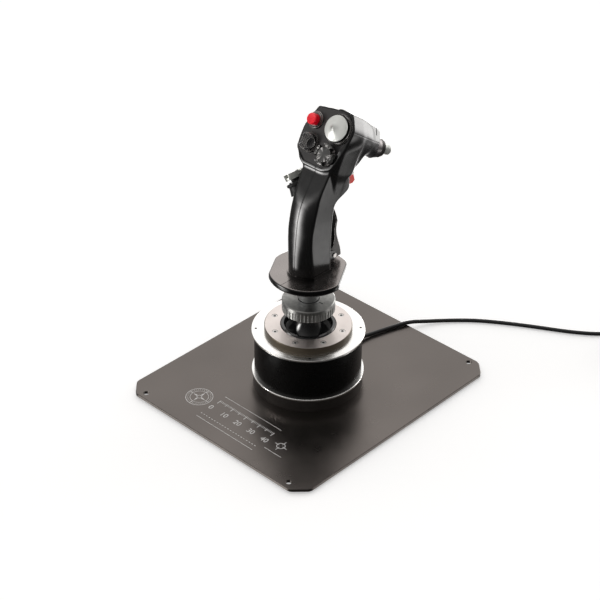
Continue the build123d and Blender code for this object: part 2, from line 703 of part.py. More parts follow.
SLOT_HALF = 6.5
BOSS_TILT = Vector(-0.62, 0, 0.785).normalized()
SIDE_HAT = Vector(-25.0, 5.5 + STICK_Y, 212.0 + PLATE_TOP)
BOSS_TOP = SIDE_HAT - BOSS_TILT * 5.1
BOSS_LENGTH = 15.0
SCREW_SPOTS = [(7.0, 141.0), (8.5, 176.0), (20.0, 205.0)]
TRIGGER_PIVOT = (40.0, 215.5)
PADDLE_PIVOT = (22.5, 134.5)
SLEEVE_R = 6.0
TIP_R = 4.7
TRIM_HAT = (0.0, 0.0)
CASTLE_HAT = (-1.4, -25.2)
SCOOP_HAT = (-24.9, -20.8)
RED_BUTTON = (-28.2, -0.6)
HATS_ON_FACE = [TRIM_HAT, CASTLE_HAT, SCOOP_HAT]

with BuildPart() as grip_body:
    for row in COLUMN:
        with BuildSketch(level(PLATE_TOP + row[0])):
            add(column_outline(*row[1:]))
    loft()
    for row in PALM:
        with BuildSketch(level(PLATE_TOP + row[0])):
            add(column_outline(*row[1:]))
    loft(ruled=True)
    with BuildSketch(face(0)):
        add(head_outline(1.2))
    with BuildSketch(face(-16)):
        add(head_outline(1.2, 0.97, (0, 0)))
    with BuildSketch(face(-36)):
        add(head_outline(1.2, 0.72, (8, -2)))
    loft()
    with BuildSketch(face(-4, 0, 0.5)):
        RectangleRounded(27.8, 30.6, 9)
    with BuildSketch(face(-28, 0, 0.3)):
        RectangleRounded(26.6, 29.4, 9.5)
    with BuildSketch(face(-42, 0, 0.1)):
        RectangleRounded(25.2, 27.2, 10)
    with BuildSketch(nose(0)):
        RectangleRounded(22, 23, 10.4)
    loft()
    for x in (-10.6, 7.8):
        with BuildSketch(side(x)):
            with BuildLine():
                Polyline((14, 130), (14, 142), (22, 139.5), (26.0, 135.5), (25.5, 131.5), (22, 129.5), close=True)
            make_face()
        extrude(amount=2.8)

with BuildPart() as grip_cavity:
    for row in COLUMN:
        with BuildSketch(level(PLATE_TOP + row[0] - 0.01)):
            add(column_outline(*row[1:], grow=-WALL))
    loft()
    for row in PALM:
        with BuildSketch(level(PLATE_TOP + row[0] - 0.01)):
            add(column_outline(row[1], row[2], row[3], row[4] - 1.5, row[5], grow=-WALL))
    loft(ruled=True)
    with BuildSketch(face(-1.6)):
        add(head_outline(-1.6))
    with BuildSketch(face(-16)):
        add(head_outline(-1.6, 0.97, (0, 0)))
    with BuildSketch(face(-33)):
        add(head_outline(-1.6, 0.76, (8, -2)))
    loft()
    with BuildSketch(face(-5, 0, 0.5)):
        RectangleRounded(22, 24, 7)
    with BuildSketch(face(-40, 0, 0.1)):
        RectangleRounded(19.6, 21.6, 8)
    with BuildSketch(nose(3)):
        RectangleRounded(16, 16.5, 7.5)
    loft()

with BuildPart() as grip_shell:
    add(grip_body.part)
    add(grip_cavity.part, mode=Mode.SUBTRACT)
    with BuildPart(mode=Mode.PRIVATE) as screw_posts:
        with BuildSketch(side(-20)):
            with Locations(*SCREW_SPOTS):
                Circle(3.4)
        extrude(amount=40)
        add(grip_body.part, mode=Mode.INTERSECT)
    add(screw_posts.part)
    with BuildSketch(side(-20)):
        with Locations(*SCREW_SPOTS):
            Circle(1.5)
    extrude(amount=30, mode=Mode.SUBTRACT)
    with BuildSketch(side(-20)):
        with Locations(*SCREW_SPOTS):
            Circle(2.9)
    extrude(amount=7.6, mode=Mode.SUBTRACT)
    with BuildSketch(face(5)):
        add(head_outline(0))
    extrude(amount=-6.6, mode=Mode.SUBTRACT)
    with BuildSketch(face(0, *RED_BUTTON)):
        Circle(6.0)
    extrude(amount=-16, mode=Mode.SUBTRACT)
    with BuildSketch(side(-SLOT_HALF)):
        with BuildLine():
            Polyline((33.5, 209), (33.5, 222), (52, 224), (60, 205), (60, 195), (42, 204), close=True)
        make_face()
    extrude(amount=2 * SLOT_HALF, mode=Mode.SUBTRACT)
    with BuildSketch(Plane(origin=BOSS_TOP - BOSS_TILT * BOSS_LENGTH, z_dir=BOSS_TILT)):
        Circle(8.6)
    extrude(amount=BOSS_LENGTH + 12, mode=Mode.SUBTRACT)
    with BuildSketch(Plane(origin=BOSS_TOP - BOSS_TILT * 1.0, z_dir=BOSS_TILT)):
        Circle(11.6)
    extrude(amount=14, mode=Mode.SUBTRACT)
    with BuildSketch(side(-20)):
        with Locations(TRIGGER_PIVOT, PADDLE_PIVOT):
            Circle(1.5)
    extrude(amount=40, mode=Mode.SUBTRACT)
    with BuildSketch(nose(-5)):
        Circle(SLEEVE_R + 0.05)
    extrude(amount=12, mode=Mode.SUBTRACT)

SEAM = Plane(origin=face(0, 0, SEAM_UP).origin, x_dir=(1, 0, 0), z_dir=UP)
with BuildPart() as head_cover:
    add(grip_shell.part)
    split(bisect_by=SEAM, keep=Keep.TOP)
save(head_cover, "head_cover")

with BuildPart() as grip_shell_left:
    add(grip_shell.part)
    split(bisect_by=SEAM, keep=Keep.BOTTOM)
    split(bisect_by=Plane.YZ, keep=Keep.BOTTOM)
save(grip_shell_left, "grip_shell_left")

with BuildPart() as grip_shell_right:
    add(grip_shell.part)
    split(bisect_by=SEAM, keep=Keep.BOTTOM)
    split(bisect_by=Plane.YZ, keep=Keep.TOP)
save(grip_shell_right, "grip_shell_right")

with BuildPart() as shell_screws:
    with BuildSketch(side(-14.2)):
        with Locations(*SCREW_SPOTS):
            Circle(2.7)
    extrude(amount=1.8)
    with BuildSketch(side(-12.4)):
        with Locations(*SCREW_SPOTS):
            Circle(1.4)
    extrude(amount=20)
    with BuildSketch(side(-14.2)):
        with Locations(*SCREW_SPOTS):
            RegularPolygon(1.2, 6)
    extrude(amount=1.2, mode=Mode.SUBTRACT)
save(shell_screws, "shell_screws")

with BuildPart() as face_plate:
    with BuildSketch(face(0)):
        add(head_outline(-0.1))
    extrude(amount=-1.6)
    with BuildSketch(face(0)):
        with Locations(*HATS_ON_FACE):
            Circle(5.5)
        with Locations(RED_BUTTON):
            Circle(6.4)
    extrude(amount=-1.6, mode=Mode.SUBTRACT)
save(face_plate, "face_plate")

with BuildPart() as hat_bezels:
    with BuildSketch(face(0)):
        with Locations(TRIM_HAT):
            Circle(14.3)
            Circle(6.0, mode=Mode.SUBTRACT)
    extrude(amount=3.0)
    with BuildSketch(face(0)):
        with Locations(SCOOP_HAT):
            Circle(9.6)
            Circle(6.0, mode=Mode.SUBTRACT)
    extrude(amount=1.8)
save(hat_bezels, "hat_bezels")


def hat_rings(plane, height):
    """The tilting ring under a hat, lying in the given plane at a height over it."""
    with BuildPart() as ring:
        with BuildSketch(plane.offset(height - 0.8)):
            Circle(4.4)
            Circle(2.7, mode=Mode.SUBTRACT)
        extrude(amount=1.6)
    return ring


HAT_PIVOT = 1.2
hat_planes = {
    "trim_hat": face(0, *TRIM_HAT),
    "castle_hat": face(0, *CASTLE_HAT),
    "scoop_hat": face(0, *SCOOP_HAT),
    "side_hat": Plane(origin=BOSS_TOP, x_dir=(0, 1, 0), z_dir=BOSS_TILT),
}
for name, plane in hat_planes.items():
    save(hat_rings(plane, HAT_PIVOT if name != "side_hat" else -1.5), name + "_ring")

with BuildPart() as trim_hat:
    with BuildSketch(hat_planes["trim_hat"].offset(0.6)):
        Circle(2.1)
    extrude(amount=6)
    with BuildSketch(hat_planes["trim_hat"].rotated((90, 0, 0))):
        with BuildLine():
            Polyline((0, 5.2), (11.6, 5.2), (11.9, 5.6), (11.9, 6.6), (10.9, 7.2))
            Spline((10.9, 7.2), (6.0, 9.6), (0, 11.6))
            Line((0, 11.6), (0, 5.2))
        make_face()
    revolve(axis=Axis(hat_planes["trim_hat"].origin, OUT))
save(trim_hat, "trim_hat")

with BuildPart() as castle_hat:
    with BuildSketch(hat_planes["castle_hat"].offset(0.6)):
        Circle(2.1)
    extrude(amount=3)
    with BuildSketch(hat_planes["castle_hat"].offset(2.7)):
        Circle(10.4)
    extrude(amount=4.5)
    fillet(castle_hat.faces().sort_by(Axis(hat_planes["castle_hat"].origin, OUT))[-1].edges(), 0.8)
    with BuildSketch(hat_planes["castle_hat"].offset(7.2)):
        with PolarLocations(10.6, 4, start_angle=45):
            Circle(2.9)
    extrude(amount=-2.6, mode=Mode.SUBTRACT)
save(castle_hat, "castle_hat")

with BuildPart() as scoop_hat:
    with BuildSketch(hat_planes["scoop_hat"].offset(0.6)):
        Circle(2.1)
    extrude(amount=4)
    with BuildSketch(hat_planes["scoop_hat"].offset(3.2)):
        Circle(8.0)
    extrude(amount=4.4)
    fillet(scoop_hat.faces().sort_by(Axis(hat_planes["scoop_hat"].origin, OUT))[-1].edges(), 1.2)
    for x in (-8.6, 8.6):
        with Locations(hat_planes["scoop_hat"].offset(9.0)):
            with Locations((x, 0, 0)):
                Sphere(5.4, mode=Mode.SUBTRACT)
save(scoop_hat, "scoop_hat")

with BuildPart() as side_hat:
    with BuildSketch(hat_planes["side_hat"].offset(-3.0)):
        Circle(2.1)
    extrude(amount=5)
    with BuildSketch(hat_planes["side_hat"].offset(2.2)):
        Circle(9.2)
    extrude(amount=5.8)
    with BuildSketch(hat_planes["side_hat"].offset(8.0)):
        with PolarLocations(9.2, 4, start_angle=0):
            SlotOverall(9.0, 4.6)
    extrude(amount=-3.4, mode=Mode.SUBTRACT)
save(side_hat, "side_hat")

with BuildPart() as side_hat_plunger:
    with BuildSketch(hat_planes["side_hat"].offset(-3.6)):
        Circle(4.6)
    extrude(amount=-3.2)
    with BuildSketch(hat_planes["side_hat"].offset(-6.8)):
        Circle(2.0)
    extrude(amount=-1.0)
save(side_hat_plunger, "side_hat_plunger")

with BuildPart() as side_hat_boss:
    with BuildSketch(hat_planes["side_hat"].offset(-BOSS_LENGTH)) as boss_foot:
        Circle(8.6)
    with BuildSketch(hat_planes["side_hat"]) as boss_mouth:
        Circle(7.6)
    loft(sections=[boss_foot.sketch, boss_mouth.sketch])
    with BuildSketch(hat_planes["side_hat"]):
        Circle(5.2)
    extrude(amount=-11.4, mode=Mode.SUBTRACT)
save(side_hat_boss, "side_hat_boss")

with BuildPart() as hat_switches:
    for a, up in HATS_ON_FACE:
        with BuildSketch(face(-2.2, a, up)):
            RectangleRounded(11, 11, 1)
        extrude(amount=-8)
    with BuildSketch(hat_planes["side_hat"].offset(-11.4)):
        Circle(4.6)
    extrude(amount=2.3)
save(hat_switches, "hat_switches")

with BuildPart() as button_nuts:
    with BuildSketch(face(0, *RED_BUTTON)):
        Circle(8.2)
    extrude(amount=2.4)
    with BuildSketch(face(0, *RED_BUTTON)):
        Circle(5.95)
    extrude(amount=-7)
    with BuildSketch(face(3, *RED_BUTTON)):
        Circle(5.35)
    extrude(amount=-12, mode=Mode.SUBTRACT)
    with BuildSketch(nose(0)) as cap_root:
        Circle(10.7)
    with BuildSketch(nose(-5.5)) as cap_tip:
        Circle(9.4)
    loft(sections=[cap_root.sketch, cap_tip.sketch])
    with BuildSketch(nose(-5.5)):
        Circle(7.2)
    extrude(amount=-5.5)
    with BuildSketch(nose(-6.3)):
        Circle(8.9)
    extrude(amount=-2.3)
    with BuildSketch(nose(-9.3)):
        Circle(7.7)
    extrude(amount=-1.7)
    with BuildSketch(nose(0)):
        Circle(SLEEVE_R)
    extrude(amount=8)
    with BuildSketch(nose(9)):
        Circle(TIP_R + 0.05)
    extrude(amount=-21, mode=Mode.SUBTRACT)
save(button_nuts, "button_nuts")

with BuildPart() as red_button:
    with BuildSketch(face(-6.5, *RED_BUTTON)):
        Circle(5.3)
    extrude(amount=14.5)
    fillet(red_button.faces().sort_by(Axis(face(0).origin, OUT))[-1].edges(), 0.9)
save(red_button, "red_button")

with BuildPart() as tip_button:
    with BuildSketch(nose(7)):
        Circle(TIP_R)
    extrude(amount=-27)
    fillet(tip_button.faces().sort_by(Axis(nose(0).origin, nose(0).z_dir))[0].edges(), 0.6)
save(tip_button, "tip_button")

with BuildPart() as microswitches:
    with BuildSketch(face(-9.2, *RED_BUTTON)):
        Rectangle(5, 7)
    extrude(amount=-5)
    with BuildSketch(nose(20)):
        with Locations((0, -3)):
            Rectangle(5, 8)
    extrude(amount=-10)
    with BuildSketch(side(-3)):
        with Locations((25.5, 216)):
            Rectangle(8, 11)
        with Locations((10, 154)):
            Rectangle(6, 12)
    extrude(amount=6)
save(microswitches, "microswitches")

with BuildPart() as grip_board:
    with BuildSketch(side(-9)):
        with Locations((-4.0, 164)):
            Rectangle(1.6, 50)
    extrude(amount=18)
    with BuildSketch(side(-4)):
        with Locations((-5.5, 176), (-5.5, 156)):
            Rectangle(1.4, 9)
    extrude(amount=8)
save(grip_board, "grip_board")

# ---------------------------------------------------------------- trigger and paddle
with BuildPart() as lever_pins:
    with BuildSketch(side(-15)):
        with Locations(TRIGGER_PIVOT):
            Circle(1.45)
    extrude(amount=30)
    with BuildSketch(side(-11.4)):
        with Locations(PADDLE_PIVOT):
            Circle(1.45)
    extrude(amount=22.8)
    with BuildSketch(side(10.7)):
        with Locations(PADDLE_PIVOT):
            Circle(2.1)
    extrude(amount=0.9)
save(lever_pins, "lever_pins")

with BuildPart() as trigger:
    with BuildSketch(side(-3)):
        with Locations(TRIGGER_PIVOT):
            Circle(3.6)
        with BuildLine():
            Polyline((38.5, 218.6), (45.5, 219), (49.6, 214.5), (51, 208), (46.8, 207), (43.5, 212.5), (39, 213), close=True)
        make_face()
    extrude(amount=6)
    with BuildSketch(side(-5.5)):
        with BuildLine():
            Spline((48.6, 216.4), (50.6, 209.4), (52.4, 203.6), (53.6, 199.2))
            Polyline((53.6, 199.2), (50.8, 197.2), (47.0, 197.6))
            Spline((47.0, 197.6), (47.6, 202.0), (46.6, 207.6), (44.4, 214.4))
            Line((44.4, 214.4), (48.6, 216.4))
        make_face()
    extrude(amount=11)
    fillet(trigger.edges().filter_by(Axis.X).group_by(Axis.Z)[0], 0.8)
    with BuildSketch(side(-8)):
        with Locations(TRIGGER_PIVOT):
            Circle(1.5)
    extrude(amount=16, mode=Mode.SUBTRACT)
save(trigger, "trigger")

PADDLE_CLIP = -(PLATE_TOP + 166.5)  # heights on a plane whose y points down
PADDLE_END = -(PLATE_TOP + 178)
with BuildPart() as paddle:
    with BuildSketch(side(-7)):
        with BuildLine():
            Spline((30.6, 177.0), (30.4, 169.0), (28.8, 161.5), (29.4, 151.5), (32.2, 142.4), (35.2, 128.2))
            Polyline((35.2, 128.2), (30.0, 128.2), (24.2, 131.0), (20.6, 132.0), (19.8, 135.5), (21.5, 138.2))
            Spline((21.5, 138.2), (25.6, 144.0), (26.2, 153), (26.6, 161.5), (28.2, 169.0), (28.6, 177.0))
            Line((28.6, 177.0), (30.6, 177.0))
        make_face()
    extrude(amount=14)
    with BuildSketch(Plane(origin=(0, STICK_Y + 15, 0), x_dir=(1, 0, 0), z_dir=(0, 1, 0))):
        for way in (-1, 1):
            with BuildLine():
                Polyline((way * 7.2, PADDLE_CLIP), (way * 7.2, PADDLE_END), (way * 1.0, PADDLE_END), close=True)
            make_face()
    extrude(amount=25, mode=Mode.SUBTRACT)
    with BuildSketch(side(-9)):
        with Locations(PADDLE_PIVOT):
            Circle(1.5)
    extrude(amount=18, mode=Mode.SUBTRACT)
save(paddle, "paddle")

with BuildPart() as trigger_spring:
    with BuildSketch(side(3.4)):
        with Locations(TRIGGER_PIVOT):
            Circle(3.0)
            Circle(2.0, mode=Mode.SUBTRACT)
    extrude(amount=2.6)
save(trigger_spring, "trigger_spring")

with BuildPart() as paddle_spring:
    with BuildLine():
        coil_line = Helix(1.15, 5.0, 2.0, center=(0, STICK_Y + 19.2, PLATE_TOP + 150), direction=(0, 1, 0))
    with BuildSketch(Plane(origin=coil_line @ 0, z_dir=coil_line % 0)):
        Circle(0.35)
    sweep(path=coil_line, is_frenet=True)
save(paddle_spring, "paddle_spring")
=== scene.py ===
import json
import math

import bmesh
import bpy
import numpy as np
from mathutils import Matrix, Quaternion, Vector


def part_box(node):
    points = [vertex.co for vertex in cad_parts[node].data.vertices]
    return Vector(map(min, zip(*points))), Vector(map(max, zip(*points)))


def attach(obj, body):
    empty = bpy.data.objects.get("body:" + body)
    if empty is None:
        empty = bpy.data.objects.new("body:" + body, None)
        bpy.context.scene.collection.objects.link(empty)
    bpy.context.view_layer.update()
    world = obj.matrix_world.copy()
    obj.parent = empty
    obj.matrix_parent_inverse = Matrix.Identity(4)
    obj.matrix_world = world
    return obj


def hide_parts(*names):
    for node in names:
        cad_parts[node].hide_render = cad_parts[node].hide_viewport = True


# A desk flight joystick. Everything is in metres in the row frame. Shapes written in millimetres are scaled
# by MM where they become a mesh.
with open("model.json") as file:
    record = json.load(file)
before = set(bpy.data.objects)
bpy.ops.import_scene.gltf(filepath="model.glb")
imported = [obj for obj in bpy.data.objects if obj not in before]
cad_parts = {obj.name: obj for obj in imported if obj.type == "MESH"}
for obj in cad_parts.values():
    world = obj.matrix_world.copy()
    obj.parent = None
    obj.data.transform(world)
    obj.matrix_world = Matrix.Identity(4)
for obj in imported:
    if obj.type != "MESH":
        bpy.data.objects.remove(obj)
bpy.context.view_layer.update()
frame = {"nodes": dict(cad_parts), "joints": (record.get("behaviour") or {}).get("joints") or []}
MM = 0.001

JOINTS = {j["name"]: j for j in frame["joints"]}
NODES = frame["nodes"]
PIVOT = Vector(JOINTS["stick_pitch"]["pos_m"])
PLATE_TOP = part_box("base_plate")[1].z
AXIS_POINT = Vector((0, PIVOT.y, PLATE_TOP))
scene = bpy.context.scene


# ------------------------------------------------------------------ planes
def plane(origin, x_dir, z_dir):
    """Matrix from millimetres in a plane (its x, its y, out of it) to metres in the row frame."""
    z = Vector(z_dir).normalized()
    x = Vector(x_dir).normalized()
    y = z.cross(x)
    turned = Matrix((x, y, z)).transposed().to_4x4()
    return Matrix.Translation(origin) @ turned @ Matrix.Scale(MM, 4)


FACE_UP = Vector(JOINTS["trim_hat_tilt_side"]["axis"]).normalized()
FACE_OUT = Vector((1, 0, 0)).cross(FACE_UP)
HAT_PIVOT = 1.2
HEAD = Vector(JOINTS["trim_hat_tilt_side"]["pos_m"]) - FACE_OUT * HAT_PIVOT * MM
FACE = plane(HEAD, (1, 0, 0), FACE_OUT)
LEVEL = plane(AXIS_POINT, (1, 0, 0), (0, 0, 1))
SIDE = plane(AXIS_POINT, (0, 1, 0), (1, 0, 0))


def moved(base, x, y, out=0.0):
    """The same plane, shifted by millimetres along its own axes."""
    return base @ Matrix.Translation((x, y, out))


def spun(base, angle):
    """The same plane, turned about its third axis."""
    return base @ Matrix.Rotation(angle, 4, "Z")


def hat_plane(joint, lift):
    """Plane of the surface that a hat stands on, lift millimetres under its tilt pivot."""
    at = Vector(JOINTS[joint + "_tilt_side"]["pos_m"]) - FACE_OUT * lift * MM
    return plane(at, (1, 0, 0), FACE_OUT)


# ------------------------------------------------------------------ camera
CAMERA_AIM = Vector((0.0, -0.0144, 0.1012))
CAMERA_DISTANCE = 1.564
CAMERA_AZIMUTH = 43.433
CAMERA_ELEVATION = 33.783
CAMERA_ROLL = 0.476
CAMERA_LENS = 101.68

azimuth, elevation = math.radians(CAMERA_AZIMUTH), math.radians(CAMERA_ELEVATION)
back = Vector(
    (math.sin(azimuth) * math.cos(elevation), -math.cos(azimuth) * math.cos(elevation), math.sin(elevation))
)
camera_data = bpy.data.cameras.new("camera")
camera_data.lens = CAMERA_LENS
camera_data.sensor_width = 36
camera = bpy.data.objects.new("camera", camera_data)
scene.collection.objects.link(camera)
camera.location = CAMERA_AIM + back * CAMERA_DISTANCE
camera.rotation_mode = "QUATERNION"
roll = Quaternion(-back, math.radians(-CAMERA_ROLL))
camera.rotation_quaternion = roll @ (-back).to_track_quat("-Z", "Y")
camera_data.clip_start, camera_data.clip_end = 0.1, 20
scene.camera = camera


# ------------------------------------------------------------------ mesh tools
def as_object(bm, name):
    """Turns a bmesh into an object with consistent outward normals."""
    bmesh.ops.recalc_face_normals(bm, faces=bm.faces)
    mesh = bpy.data.meshes.new(name)
    bm.to_mesh(mesh)
    bm.free()
    obj = bpy.data.objects.new(name, mesh)
    scene.collection.objects.link(obj)
    return obj


def lathe(name, profile, at, segments=96, closed=False):
    """Solid turned about the plane's third axis from (radius, height) pairs; closed makes it a ring."""
    bm = bmesh.new()
    rings = []
    for radius, height in profile:
        spots = circle(radius, points=segments) if radius else [(0, 0)]
        rings.append([bm.verts.new(at @ Vector((x, y, height))) for x, y in spots])
    pairs = list(zip(rings, rings[1:])) + ([(rings[-1], rings[0])] if closed else [])
    for low, high in pairs:
        for i in range(segments):
            j = (i + 1) % segments
            corners = [low[i % len(low)], low[j % len(low)], high[j % len(high)], high[i % len(high)]]
            bm.faces.new(list(dict.fromkeys(corners)))
    return as_object(bm, name)


def ring(name, profile, at, segments=96):
    """A ring turned from a closed profile."""
    return lathe(name, profile, at, segments, closed=True)


def prism(name, outline, at, low, high):
    """Solid with a flat outline, from low to high out of the plane."""
    bm = bmesh.new()
    bottom = [bm.verts.new(at @ Vector((x, y, low))) for x, y in outline]
    top = [bm.verts.new(at @ Vector((x, y, high))) for x, y in outline]
    bm.faces.new(bottom[::-1])
    bm.faces.new(top)
    for i in range(len(outline)):
        j = (i + 1) % len(outline)
        bm.faces.new([bottom[i], bottom[j], top[j], top[i]])
    return as_object(bm, name)


def circle(radius, x=0.0, y=0.0, points=64):
    """Outline of a circle."""
    turns = [2 * math.pi * i / points for i in range(points)]
    return [(x + radius * math.cos(t), y + radius * math.sin(t)) for t in turns]


def rounded(outline, radius, steps=6):
    """The outline with each corner turned into an arc of that radius."""
    made = []
    count = len(outline)
    for i in range(count):
        before, here, after = (Vector(outline[(i + k) % count]) for k in (-1, 0, 1))
        into, out = (before - here).normalized(), (after - here).normalized()
        half = into.angle(out) / 2
        run = min(radius / math.tan(half), (before - here).length * 0.49, (after - here).length * 0.49)
        arc = run * math.tan(half)
        middle = here + (into + out).normalized() * arc / math.sin(half)
        start, end = here + into * run - middle, here + out * run - middle
        turn = start.angle_signed(end)
        for k in range(steps + 1):
            spoke = start.copy()
            spoke.rotate(Matrix.Rotation(-turn * k / steps, 2))
            made.append(tuple(middle + spoke))
    return made


def box_outline(width, height, x=0.0, y=0.0):
    """Outline of a rectangle about its middle."""
    w, h = width / 2, height / 2
    return [(x - w, y - h), (x + w, y - h), (x + w, y + h), (x - w, y + h)]


def settle(obj):
    """Applies an object's modifiers to its mesh."""
    bpy.context.view_layer.update()
    graph = bpy.context.evaluated_depsgraph_get()
    made = bpy.data.meshes.new_from_object(obj.evaluated_get(graph))
    old = obj.data
    obj.modifiers.clear()
    obj.data = made
    bpy.data.meshes.remove(old)
    made.name = obj.name
    return obj


def combine(obj, tools, operation="DIFFERENCE"):
    """Cuts the tools from the object, adds them to it, or keeps what they share. The tools are used up."""
    for tool in tools:
        step = obj.modifiers.new("step", "BOOLEAN")
        step.operation = operation
        step.solver = "MANIFOLD"
        step.object = tool
    settle(obj)
    for tool in tools:
        bpy.data.objects.remove(tool)
    return obj


def soften(obj, width, angle=35, segments=3):
    """Rounds the sharp edges by a small radius in millimetres."""
    step = obj.modifiers.new("edges", "BEVEL")
    step.width = width * MM
    step.segments = segments
    step.limit_method = "ANGLE"
    step.angle_limit = math.radians(angle)
    step.harden_normals = False
    return settle(obj)


def shade(obj, angle=40):
    """Smooth shading that stays crisp at edges sharper than the angle."""
    obj.data.shade_smooth()
    obj.data.set_sharp_from_angle(angle=math.radians(angle))
    return obj


def twin(node, name):
    """A CAD node's mesh as a new piece, with its split corners merged and its flat faces whole."""
    mesh = NODES[node].data.copy()
    bm = bmesh.new()
    bm.from_mesh(mesh)
    bmesh.ops.remove_doubles(bm, verts=bm.verts, dist=1e-6)
    flat = math.radians(0.5)
    bmesh.ops.dissolve_limit(bm, angle_limit=flat, verts=bm.verts, edges=bm.edges)
    bpy.data.meshes.remove(mesh)
    return as_object(bm, name)


def put_on(obj, body, finish, slot, *nodes):
    """Gives a piece its material and body, in place of the CAD nodes named. The slot is not used."""
    obj.data.materials.clear()
    obj.data.materials.append(finish)
    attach(obj, body)
    if nodes:
        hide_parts(*nodes)
    return obj


# ------------------------------------------------------------------ materials
def add_node(tree, kind, **values):
    """A shader node with some of its inputs or settings filled in."""
    made = tree.nodes.new(kind)
    for key, value in values.items():
        if key in made.inputs:
            made.inputs[key].default_value = value
        else:
            setattr(made, key, value)
    return made


def object_point(tree, centre=(0, 0, 0), stretch=(1, 1, 1)):
    """The surface point in the row frame, moved to a centre and stretched."""
    source = add_node(tree, "ShaderNodeTexCoord")
    mapping = add_node(tree, "ShaderNodeMapping")
    mapping.inputs["Scale"].default_value = stretch
    mapping.inputs["Location"].default_value = [-c * s for c, s in zip(centre, stretch)]
    tree.links.new(source.outputs["Object"], mapping.inputs["Vector"])
    return mapping.outputs["Vector"]


def noise(tree, point, scale, detail=2.0):
    """Noise with so many cells to the metre."""
    made = add_node(tree, "ShaderNodeTexNoise", Scale=scale, Detail=detail)
    tree.links.new(point, made.inputs["Vector"])
    return made.outputs["Fac"]


def remap(tree, value, low, high, from_low=0.3, from_high=0.7):
    """Stretches a value's usual range over low to high."""
    made = add_node(tree, "ShaderNodeMapRange")
    made.inputs["From Min"].default_value = from_low
    made.inputs["From Max"].default_value = from_high
    made.inputs["To Min"].default_value = low
    made.inputs["To Max"].default_value = high
    tree.links.new(value, made.inputs["Value"])
    return made.outputs["Result"]


def blend_color(tree, factor, first, second):
    """Colour between two, by a factor from 0 to 1."""
    made = add_node(tree, "ShaderNodeMix", data_type="RGBA")
    for socket, color in ((made.inputs[6], first), (made.inputs[7], second)):
        if isinstance(color, bpy.types.NodeSocket):
            tree.links.new(color, socket)
        else:
            socket.default_value = (*color, 1)
    tree.links.new(factor, made.inputs[0])
    return made.outputs[2]


def bump(tree, shader, height, depth, before=None):
    """Bump in millimetres of depth."""
    made = add_node(tree, "ShaderNodeBump", Strength=1.0, Distance=depth * MM)
    tree.links.new(height, made.inputs["Height"])
    if before is not None:
        tree.links.new(before, made.inputs["Normal"])
    tree.links.new(made.outputs["Normal"], shader.inputs["Normal"])
    return made.outputs["Normal"]


def edge_wear_and_highlight(tree, radius, gain=3.0):
    """1 along sharp edges and 0 on flat faces, from how a rounded normal leaves the true one."""
    rounded_normal = add_node(tree, "ShaderNodeBevel", samples=4, Radius=radius * MM)
    true = add_node(tree, "ShaderNodeNewGeometry")
    dot = add_node(tree, "ShaderNodeVectorMath", operation="DOT_PRODUCT")
    tree.links.new(rounded_normal.outputs["Normal"], dot.inputs[0])
    tree.links.new(true.outputs["True Normal"], dot.inputs[1])
    return remap(tree, dot.outputs["Value"], 1.0, 0.0, 1.0 - 1.0 / (3 * gain), 1.0)


def finish(
    name,
    color,
    roughness,
    metallic=0.0,
    mottle=(60, 0.15),
    grain=(2500, 0.01),
    rough_spread=0.05,
    edge=None,
    shaded_side_color=None,
    **sockets,
):
    """A procedural surface with mottled colour, uneven gloss and fine grain.

    edge is the width and colour of a lighter band along sharp edges: part rubbed wear, part painted
    highlight. shaded_side_color is painted shade: a darker colour for all that doesn't face up, standing in
    for the dark reflections on sides.
    """
    made = bpy.data.materials.new(name)
    made.use_nodes = True
    tree = made.node_tree
    shader = tree.nodes["Principled BSDF"]
    shader.inputs["Metallic"].default_value = metallic
    for key, value in sockets.items():
        shader.inputs[key.replace("_", " ")].default_value = value
    point = object_point(tree)
    patches = noise(tree, point, mottle[0], 3)
    dark = [c * (1 - mottle[1]) for c in color]
    light = [min(1.0, c * (1 + mottle[1])) for c in color]
    tint = blend_color(tree, remap(tree, patches, 0, 1), dark, light)
    # painted shade: what doesn't face up takes the darker shaded_side_color
    if shaded_side_color:
        facing = add_node(tree, "ShaderNodeSeparateXYZ")
        tree.links.new(add_node(tree, "ShaderNodeTexCoord").outputs["Normal"], facing.inputs[0])
        tint = blend_color(tree, remap(tree, facing.outputs["Z"], 0, 1, 0.80, 0.97), shaded_side_color, tint)
    # lighter colour along sharp edges: part rubbed wear, part painted highlight
    if edge:
        tint = blend_color(tree, edge_wear_and_highlight(tree, edge[0]), tint, edge[1])
    tree.links.new(tint, shader.inputs["Base Color"])
    gloss = noise(tree, point, mottle[0] * 4, 4)
    rough = remap(tree, gloss, roughness - rough_spread, roughness + rough_spread)
    tree.links.new(rough, shader.inputs["Roughness"])
    bump(tree, shader, noise(tree, point, grain[0], 2), grain[1])
    return made


def turned(name, color, roughness, rings, depth, metallic=1.0, **sockets):
    """Metal faced on a lathe: fine rings about the stick's axis."""
    made = finish(name, color, roughness, metallic, mottle=(25, 0.06), grain=(3000, 0.002), **sockets)
    tree = made.node_tree
    shader = tree.nodes["Principled BSDF"]
    point = object_point(tree, (0, PIVOT.y, 0), (1, 1, 0))
    length = add_node(tree, "ShaderNodeVectorMath", operation="LENGTH")
    tree.links.new(point, length.inputs[0])
    line = add_node(tree, "ShaderNodeTexNoise", noise_dimensions="1D", Scale=rings, Detail=3.0)
    tree.links.new(length.outputs["Value"], line.inputs["W"])
    before = shader.inputs["Normal"].links[0].from_socket
    bump(tree, shader, line.outputs["Fac"], depth, before)
    rough = remap(tree, line.outputs["Fac"], roughness - 0.06, roughness + 0.06)
    tree.links.new(rough, shader.inputs["Roughness"])
    return made


